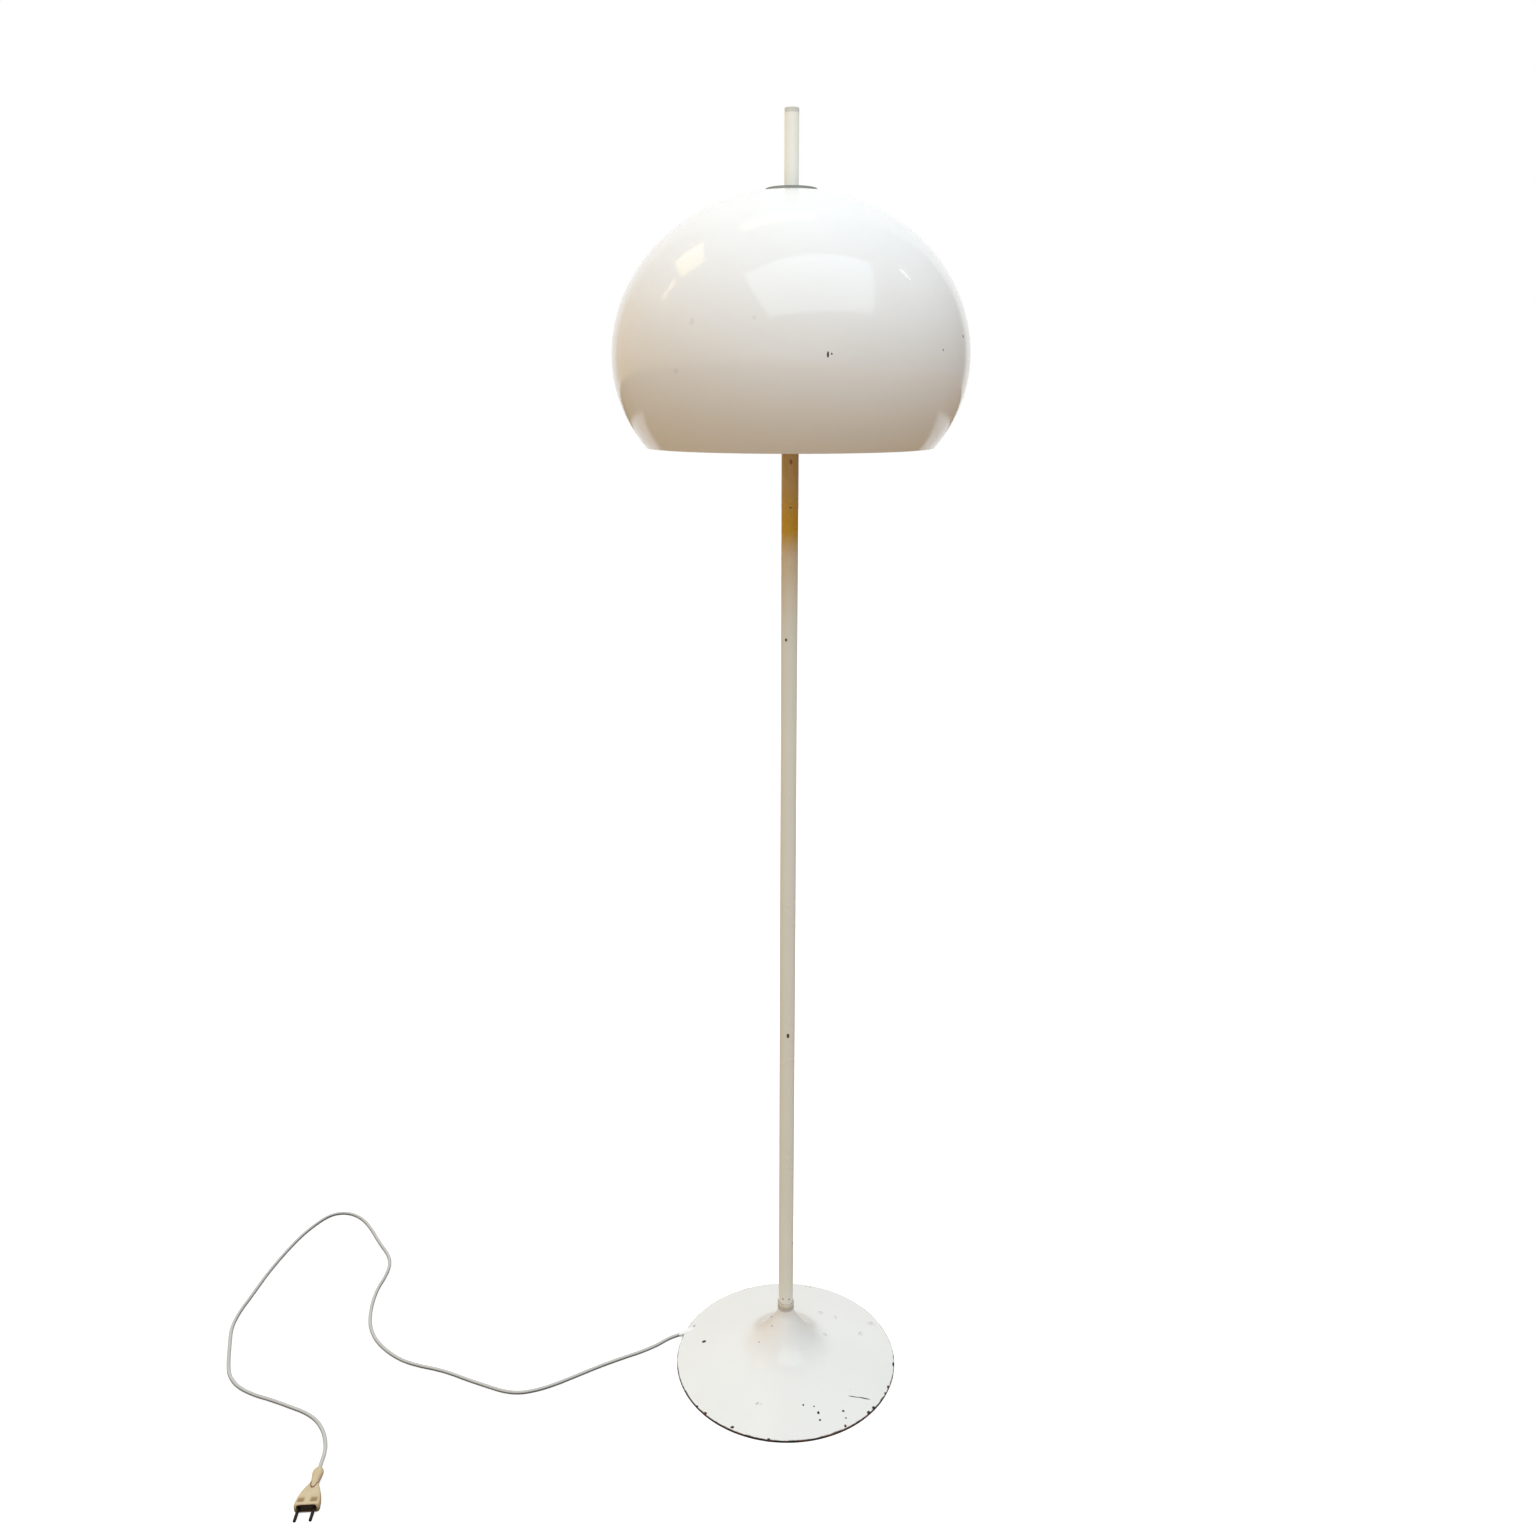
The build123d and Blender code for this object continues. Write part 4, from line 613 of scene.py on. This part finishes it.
def collar_lacquer():
    """The collars: cream lacquer, with painted shade in the joints at both ends of the one under
    the pole.
    """
    foot_full, foot_gone = 0.0878, 0.0890
    top_from, top_full, neck_end = 0.0974, 0.0979, 0.1
    joint_share = 0.8
    material, tree, shader, place = finish_of("collar lacquer", 0.3)
    height_up = parts_of(tree, place)["Z"]
    slow, fine = mottled(tree, place, 60.0, 500.0)
    colour = mixed(tree, slow, paint(214, 208, 190), paint(190, 182, 160))
    # Painted shade in the joints at both ends of the lower collar.
    foot_joint = ramp(tree, height_up, foot_full, foot_gone, 1.0, 0.0)
    joint_shade = maths(tree, "MAXIMUM", foot_joint, ramp(tree, height_up, top_from, top_full))
    joint_shade = times(tree, joint_shade, maths(tree, "LESS_THAN", height_up, neck_end))
    colour = mixed(tree, times(tree, joint_shade, joint_share), colour, paint(96, 78, 58))
    tree.links.new(colour, shader.inputs["Base Color"])
    give_bump(tree, shader, fine, 0.00005)
    return material


def brushed_grey():
    """The shade's cap, satin grey, and the pole's end plug, paler from handling."""
    plug_above = 1.58
    material, tree, shader, place = finish_of("brushed grey", 0.4)
    height_up = parts_of(tree, place)["Z"]
    slow, fine = mottled(tree, place, 50.0, 500.0)
    dark = mixed(tree, slow, paint(150, 152, 146), paint(128, 130, 124))
    pale = mixed(tree, slow, paint(224, 224, 216), paint(206, 205, 196))
    colour = mixed(tree, maths(tree, "GREATER_THAN", height_up, plug_above), dark, pale)
    tree.links.new(colour, shader.inputs["Base Color"])
    give_bump(tree, shader, fine, 0.00005)
    return material


def white_moulding():
    """White plastic, and the cord's strain relief in the same stuff, paler low on the base."""
    pale_full, pale_gone = 0.0040, 0.0200
    material, tree, shader, place = finish_of("white plastic", 0.36)
    height_up = parts_of(tree, place)["Z"]
    slow, fine = mottled(tree, place, 40.0, 500.0)
    colour = mixed(tree, slow, paint(228, 226, 220), paint(212, 208, 198))
    wiped = ramp(tree, height_up, pale_full, pale_gone, 1.0, 0.0)
    colour = mixed(tree, wiped, colour, paint(246, 246, 243))
    tree.links.new(colour, shader.inputs["Base Color"])
    give_bump(tree, shader, fine, 0.00006)
    return material


def cord_sheath():
    """The cord: pale sheath, with painted shade along its lower side."""
    underside_shade_full, underside_shade_gone, underside_shade_share, underside_shade_waver = 0.0034, 0.0052, 0.9, 0.0012
    material, tree, shader, place = finish_of("cord sheath", 0.42)
    height_up = parts_of(tree, place)["Z"]
    slow, fine = mottled(tree, place, 12.0, 700.0)
    colour = mixed(tree, slow, paint(208, 208, 205), paint(188, 186, 181))
    # Painted shade: the lower side of the cord is darkened by height.
    low = maths(tree, "ADD", height_up, times(tree, slow, underside_shade_waver))
    underside_shade = ramp(tree, low, underside_shade_full, underside_shade_gone, underside_shade_share, 0.0)
    colour = mixed(tree, underside_shade, colour, paint(70, 68, 66))
    tree.links.new(colour, shader.inputs["Base Color"])
    give_bump(tree, shader, fine, 0.00005)
    return material


def plug_plastic():
    """The plug: cream plastic gone tan, grimy in its finger hollows and round its tongue."""
    hollow_along = (0.0022, 0.0044, 0.0078, 0.0125)
    hollow_across = (0.0020, 0.0055, 0.0105, 0.0135)
    hollow_share = 0.85
    low_dark_full, low_dark_gone, low_dark_share, low_dark_waver = 0.0075, 0.0130, 0.75, 0.006
    tongue_along, tongue_across = 0.034, 0.0010
    tongue_half_length, tongue_half_width = 0.0085, 0.0036
    line_full, line_gone, tongue_end = 0.18, 0.45, 0.038
    material, tree, shader, place = finish_of("plug plastic", 0.34)
    slow, fine = mottled(tree, place, 40.0, 500.0)
    colour = mixed(tree, slow, paint(222, 204, 168), paint(190, 166, 124))
    away = vector_maths(tree, "SUBTRACT", place, i1=tuple(PLUG_FACE))
    along = vector_maths(tree, "DOT_PRODUCT", away, i1=tuple(PLUG_ALONG))
    across = vector_maths(tree, "DOT_PRODUCT", away, i1=tuple(PLUG_ACROSS))

    sideways = maths(tree, "ABSOLUTE", across)
    hollow = within(tree, along, *hollow_along)
    hollow = times(tree, hollow, within(tree, sideways, *hollow_across))
    colour = mixed(tree, times(tree, hollow, hollow_share), colour, paint(140, 106, 48))
    # Darker towards the bottom, by height.
    height_up = parts_of(tree, place)["Z"]
    darker_low = maths(tree, "ADD", height_up, times(tree, slow, low_dark_waver))
    darker_low = ramp(tree, darker_low, low_dark_full, low_dark_gone, low_dark_share, 0.0)
    colour = mixed(tree, darker_low, colour, paint(104, 84, 60))

    reach_along = maths(tree, "SUBTRACT", along, tongue_along)
    reach_along = maths(tree, "DIVIDE", reach_along, tongue_half_length)
    reach_across = maths(tree, "SUBTRACT", across, tongue_across)
    reach_across = maths(tree, "DIVIDE", reach_across, tongue_half_width)
    squared_along = times(tree, reach_along, reach_along)
    reach = maths(tree, "ADD", squared_along, times(tree, reach_across, reach_across))
    line = maths(tree, "ABSOLUTE", maths(tree, "SUBTRACT", reach, 1.0))
    line = ramp(tree, line, line_full, line_gone, 1.0, 0.0)
    line = times(tree, line, ramp(tree, along, tongue_along, tongue_end, 1.0, 0.0))
    colour = mixed(tree, line, colour, paint(112, 76, 40))
    tree.links.new(colour, shader.inputs["Base Color"])
    tree.links.new(spread_from(tree, slow, 0.16, 0.26), shader.inputs["Roughness"])
    give_bump(tree, shader, maths(tree, "SUBTRACT", times(tree, fine, 0.2), line), 0.0003)
    return material


def frosted_glass():
    """The bulbs: glass frosted inside, milky white."""
    material, tree, shader, place = finish_of("frosted glass", 0.3)
    shader.inputs["Base Color"].default_value = paint(238, 236, 230)
    shader.inputs["Transmission Weight"].default_value = 0.35
    shader.inputs["IOR"].default_value = 1.5
    shader.inputs["Coat Weight"].default_value = 0.6
    shader.inputs["Coat Roughness"].default_value = 0.04
    _, fine = mottled(tree, place, 25.0, 900.0)
    tree.links.new(spread_from(tree, fine, 0.15, 0.25), shader.inputs["Roughness"])
    return material


FINISHES = {
    "white_enamel": white_enamel(),
    "cream_enamel": cream_enamel(),
    "opal_acrylic": opal_acrylic(),
    "frosted_glass": frosted_glass(),
    "black_rubber": plain_plastic("black rubber", paint(30, 28, 27), paint(44, 40, 38), 0.75),
    "grey_iron": plain_metal("grey iron", paint(78, 76, 74), paint(52, 48, 45), 0.65, 160.0),
    "zinc_steel": plain_metal("zinc steel", paint(186, 186, 182), paint(150, 148, 142), 0.38),
    "turned_brass": plain_metal("turned brass", paint(196, 164, 96), paint(150, 118, 62), 0.34),
    "collar_metal": collar_lacquer(),
    "pale_nylon": plain_plastic("pale nylon", paint(224, 220, 206), paint(206, 200, 184), 0.5),
    "grey_metal": brushed_grey(),
    "drum_enamel": plain_plastic("drum enamel", paint(228, 226, 216), paint(212, 206, 192), 0.32),
    "dark_bakelite": plain_plastic("dark bakelite", paint(40, 30, 24), paint(26, 20, 17), 0.28),
    "white_porcelain": plain_plastic(
        "white porcelain", paint(236, 233, 224), paint(222, 216, 203), 0.18
    ),
    "lamp_cap_metal": plain_metal(
        "lamp cap metal", paint(206, 206, 203), paint(176, 173, 166), 0.3
    ),
    "cord_sheath": cord_sheath(),
    "wire_sheath": plain_plastic("wire sheath", paint(120, 74, 44), paint(96, 58, 36), 0.4),
    "plug_plastic": plug_plastic(),
    "dark_plastic": plain_plastic("dark plastic", paint(24, 18, 18), paint(34, 28, 26), 0.45),
    "pin_metal": plain_metal("pin metal", paint(70, 64, 58), paint(36, 32, 30), 0.4),
    "white_plastic": white_moulding(),
}

slots = {entry["node"]: entry["material_slot"] for entry in frame["record"]["subparts"]}
for name, node in NODES.items():
    node.data.materials.clear()
    node.data.materials.append(FINISHES[slots[name]])

# ------------------------------------------------------------------ cord


def lay_cord():
    """The mains cord: one smooth line from the base's strain relief to the plug."""
    data = bpy.data.curves.new("mains_flex", "CURVE")
    data.dimensions = "3D"
    line = data.splines.new("NURBS")
    line.points.add(len(CORD_ROUTE) - 1)
    for point, place in zip(line.points, CORD_ROUTE):
        point.co = (*place, 1.0)
    line.order_u = 3
    line.use_endpoint_u = True
    data.resolution_u = 8
    data.bevel_depth = CORD_RADIUS
    data.bevel_resolution = 5
    data.use_fill_caps = True
    data.materials.append(FINISHES["cord_sheath"])
    cord = bpy.data.objects.new("mains_flex", data)
    bpy.context.scene.collection.objects.link(cord)
    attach(cord, "stand")
    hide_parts("mains_cord")


# ------------------------------------------------------------------ plug

PLUG_SECTIONS = [  # distance from the face, half width, half height, squareness, in millimetres
    (0.0, 15.0, 6.45, 6.0),
    (0.5, 15.4, 6.8, 6.0),
    (3.0, 15.5, 6.85, 6.0),
    (9.0, 15.0, 6.85, 5.5),
    (15.0, 13.9, 6.85, 5.0),
    (21.0, 12.2, 6.75, 4.5),
    (26.0, 10.2, 6.35, 4.0),
    (32.0, 7.4, 5.6, 3.2),
    (36.0, 5.6, 5.2, 2.8),
    (39.0, 4.9, 5.1, 2.5),
    (43.0, 5.3, 5.2, 2.3),
    (47.0, 6.0, 5.35, 2.2),
    (54.0, 7.0, 5.4, 2.1),
    (58.0, 6.1, 4.9, 2.1),
    (60.0, 4.4, 3.9, 2.0),
    (60.5, 3.4, 3.2, 2.0),
]


def section_at(distance):
    """The plug's half width, half height and squareness at a distance from its face."""
    for before, after in zip(PLUG_SECTIONS, PLUG_SECTIONS[1:]):
        if distance <= after[0]:
            share = (distance - before[0]) / (after[0] - before[0])
            return [a + (b - a) * share for a, b in zip(before[1:], after[1:])]
    return list(PLUG_SECTIONS[-1][1:])


def hollow_depth(distance, sideways):
    """How far the finger hollows sink into the plug's broad sides, in millimetres."""
    middle, off_centre, reach, depth = 7.6, 8.2, 5.0, 0.9
    along = max(0.0, 1 - ((distance - middle) / reach) ** 2)
    across = max(0.0, 1 - ((abs(sideways) - off_centre) / reach) ** 2)
    return depth * along * across


def plug_point(distance, sideways, rise):
    """A place on the plug, from millimetres along, across and up to metres in the lamp."""
    millimetres_per_metre = 1000
    reach = PLUG_ALONG * distance + PLUG_ACROSS * sideways + Vector((0, 0, rise))
    return PLUG_FACE + reach / millimetres_per_metre


def squarish(half_width, half_height, squareness, angle):
    """A point of a rounded rectangle drawn as one smooth curve."""
    side, up = math.cos(angle), math.sin(angle)
    power = 2 / squareness
    return (
        math.copysign(half_width * abs(side) ** power, side),
        math.copysign(half_height * abs(up) ** power, up),
    )


def mould_plug():
    """The plug's body: flared grip, finger hollows, and a mouth sunk round the dark face."""
    sides, step = 96, 0.75
    mouth_depth, mouth = 2.05, (12.3, 5.4, 5.0)
    shape = bmesh.new()
    steps = round(PLUG_SECTIONS[-1][0] / step)
    turns = [2 * math.pi * k / sides for k in range(sides)]
    rings = []
    for sink in (mouth_depth, 0.0):
        rings.append([(sink, *squarish(*mouth, turn)) for turn in turns])
    for count in range(steps + 1):
        distance = min(count * step, PLUG_SECTIONS[-1][0])
        half_width, half_height, squareness = section_at(distance)
        ring = []
        for turn in turns:
            sideways, rise = squarish(half_width, half_height, squareness, turn)
            rise -= math.copysign(hollow_depth(distance, sideways), rise)
            ring.append((distance, sideways, rise))
        rings.append(ring)
    made = [[shape.verts.new(plug_point(*place)) for place in ring] for ring in rings]
    for first, second in zip(made, made[1:]):
        for k in range(sides):
            following = (k + 1) % sides
            shape.faces.new((first[k], first[following], second[following], second[k]))
    shape.faces.new(list(reversed(made[0])))
    shape.faces.new(made[-1])
    bmesh.ops.recalc_face_normals(shape, faces=shape.faces)
    for face in shape.faces:
        face.smooth = len(face.verts) == 4
    for ring in made[:2]:
        for k in range(sides):
            shape.edges.get((ring[k], ring[(k + 1) % sides])).smooth = False
    mesh = bpy.data.meshes.new("moulded_plug")
    shape.to_mesh(mesh)
    shape.free()
    mesh.materials.append(FINISHES["plug_plastic"])
    body = bpy.data.objects.new("moulded_plug", mesh)
    bpy.context.scene.collection.objects.link(body)
    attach(body, "stand")
    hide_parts("plug_body")


mould_plug()
lay_cord()

# ------------------------------------------------------------------ floor, backdrop and light

WHITE = (1.0, 1.0, 1.0, 1.0)
SHEET_WHITE = (0.85, 0.85, 0.85, 1.0)
FLOOR_TAN = (0.42, 0.295, 0.175, 1.0)
WALL_LEFT = (0.88, 0.65, 0.36, 1.0)
WALL_FRONT = (0.80, 0.78, 0.735, 1.0)
WALL_RIGHT = (0.26, 0.26, 0.26, 1.0)
CEILING = (0.85, 0.87, 0.90, 1.0)


def lay_floor():
    """The floor: white to the camera; in reflections tan, with a white sheet behind the lamp."""
    floor_radius, floor_sides = 14.0, 96
    sheet_side, sheet_side_end = 2.8, 3.4
    sheet_front, sheet_front_full = 1.7, 2.4
    camera_glow, sheet_glow = 0.5, 0.35
    mesh = bpy.data.meshes.new("floor")
    shape = bmesh.new()
    settings = {"cap_ends": True, "segments": floor_sides, "radius": floor_radius}
    bmesh.ops.create_circle(shape, **settings)
    shape.to_mesh(mesh)
    shape.free()
    floor = bpy.data.objects.new("floor", mesh)
    bpy.context.scene.collection.objects.link(floor)
    material, tree, shader, place = finish_of("pale floor", 0.9, specular=0.0)
    seen = new_node(tree, "ShaderNodeLightPath").outputs["Is Camera Ray"]
    spot = parts_of(tree, place)
    sideways = maths(tree, "ABSOLUTE", spot["X"])
    sideways = ramp(tree, sideways, sheet_side, sheet_side_end, 1.0, 0.0)
    behind = times(tree, sideways, ramp(tree, spot["Y"], sheet_front, sheet_front_full))
    colour = mixed(tree, behind, FLOOR_TAN, SHEET_WHITE)
    colour = mixed(tree, seen, colour, SHEET_WHITE)
    tree.links.new(colour, shader.inputs["Base Color"])
    shader.inputs["Emission Color"].default_value = WHITE
    sheet_light = times(tree, behind, sheet_glow)
    glow = maths(tree, "MAXIMUM", times(tree, seen, camera_glow), sheet_light)
    tree.links.new(glow, shader.inputs["Emission Strength"])
    mesh.materials.append(material)


def light_room():
    """The room: white to the camera; in reflections a tan wall left, grey right, bright above."""
    left_end, front_start = -0.9, -0.3
    front_end, right_start = 0.1, 0.8
    wall_top, ceiling_start = 0.05, 0.75
    sheet_aside, sheet_aside_end = 0.55, 0.78
    least_depth = 0.001
    world = bpy.data.worlds.new("room")
    bpy.context.scene.world = world
    world.use_nodes = True
    tree = world.node_tree
    way = parts_of(tree, new_node(tree, "ShaderNodeTexCoord").outputs["Generated"])
    left = mixed(tree, ramp(tree, way["X"], left_end, front_start), WALL_LEFT, WALL_FRONT)
    walls = mixed(tree, ramp(tree, way["X"], front_end, right_start), left, WALL_RIGHT)
    room = mixed(tree, ramp(tree, way["Z"], wall_top, ceiling_start), walls, CEILING)
    depth = maths(tree, "MAXIMUM", way["Y"], least_depth)
    aside = maths(tree, "ABSOLUTE", maths(tree, "DIVIDE", way["X"], depth))
    sheet = ramp(tree, aside, sheet_aside, sheet_aside_end, 1.0, 0.0)
    room = mixed(tree, sheet, room, WHITE)
    seen = new_node(tree, "ShaderNodeLightPath").outputs["Is Camera Ray"]
    tree.links.new(mixed(tree, seen, room, WHITE), tree.nodes["Background"].inputs["Color"])


LIGHTS_AIM = Vector((0, 0, 1.2))
LIGHTS = [  # name, azimuth, elevation, distance, width, height, colour, watts
    ("window", 20, 54, 3.0, 3.6, 2.2, (0.80, 0.92, 1.0), 46.0),
    ("lamp_left", -105, 51, 2.4, 0.70, 0.50, (1.0, 0.80, 0.42), 2.4),
    ("lamp_far_left", -97, 37, 2.4, 0.16, 0.40, (1.0, 0.82, 0.48), 0.45),
    ("lamp_right", 101, 44, 2.4, 0.06, 0.26, (1.0, 0.98, 0.95), 0.2),
    ("lamp_above", -162, 73, 2.4, 1.0, 0.26, (1.0, 0.80, 0.48), 0.9),
]


def hang_light(name, azimuth, elevation, distance, width, height, colour, watts):
    """A soft panel aimed below the shade; azimuth is from the camera's side towards +X."""
    data = bpy.data.lights.new(name, "AREA")
    data.shape = "RECTANGLE"
    data.size = width
    data.size_y = height
    data.color = colour
    data.energy = watts
    light = bpy.data.objects.new(name, data)
    bpy.context.scene.collection.objects.link(light)
    turn, rise = math.radians(azimuth), math.radians(elevation)
    level = math.cos(rise)
    way = Vector((math.sin(turn) * level, -math.cos(turn) * level, math.sin(rise)))
    light.location = LIGHTS_AIM + way * distance
    light.rotation_euler = way.to_track_quat("Z", "Y").to_euler()


lay_floor()
light_room()
for values in LIGHTS:
    hang_light(*values)
bpy.context.scene.view_settings.view_transform = "Standard"
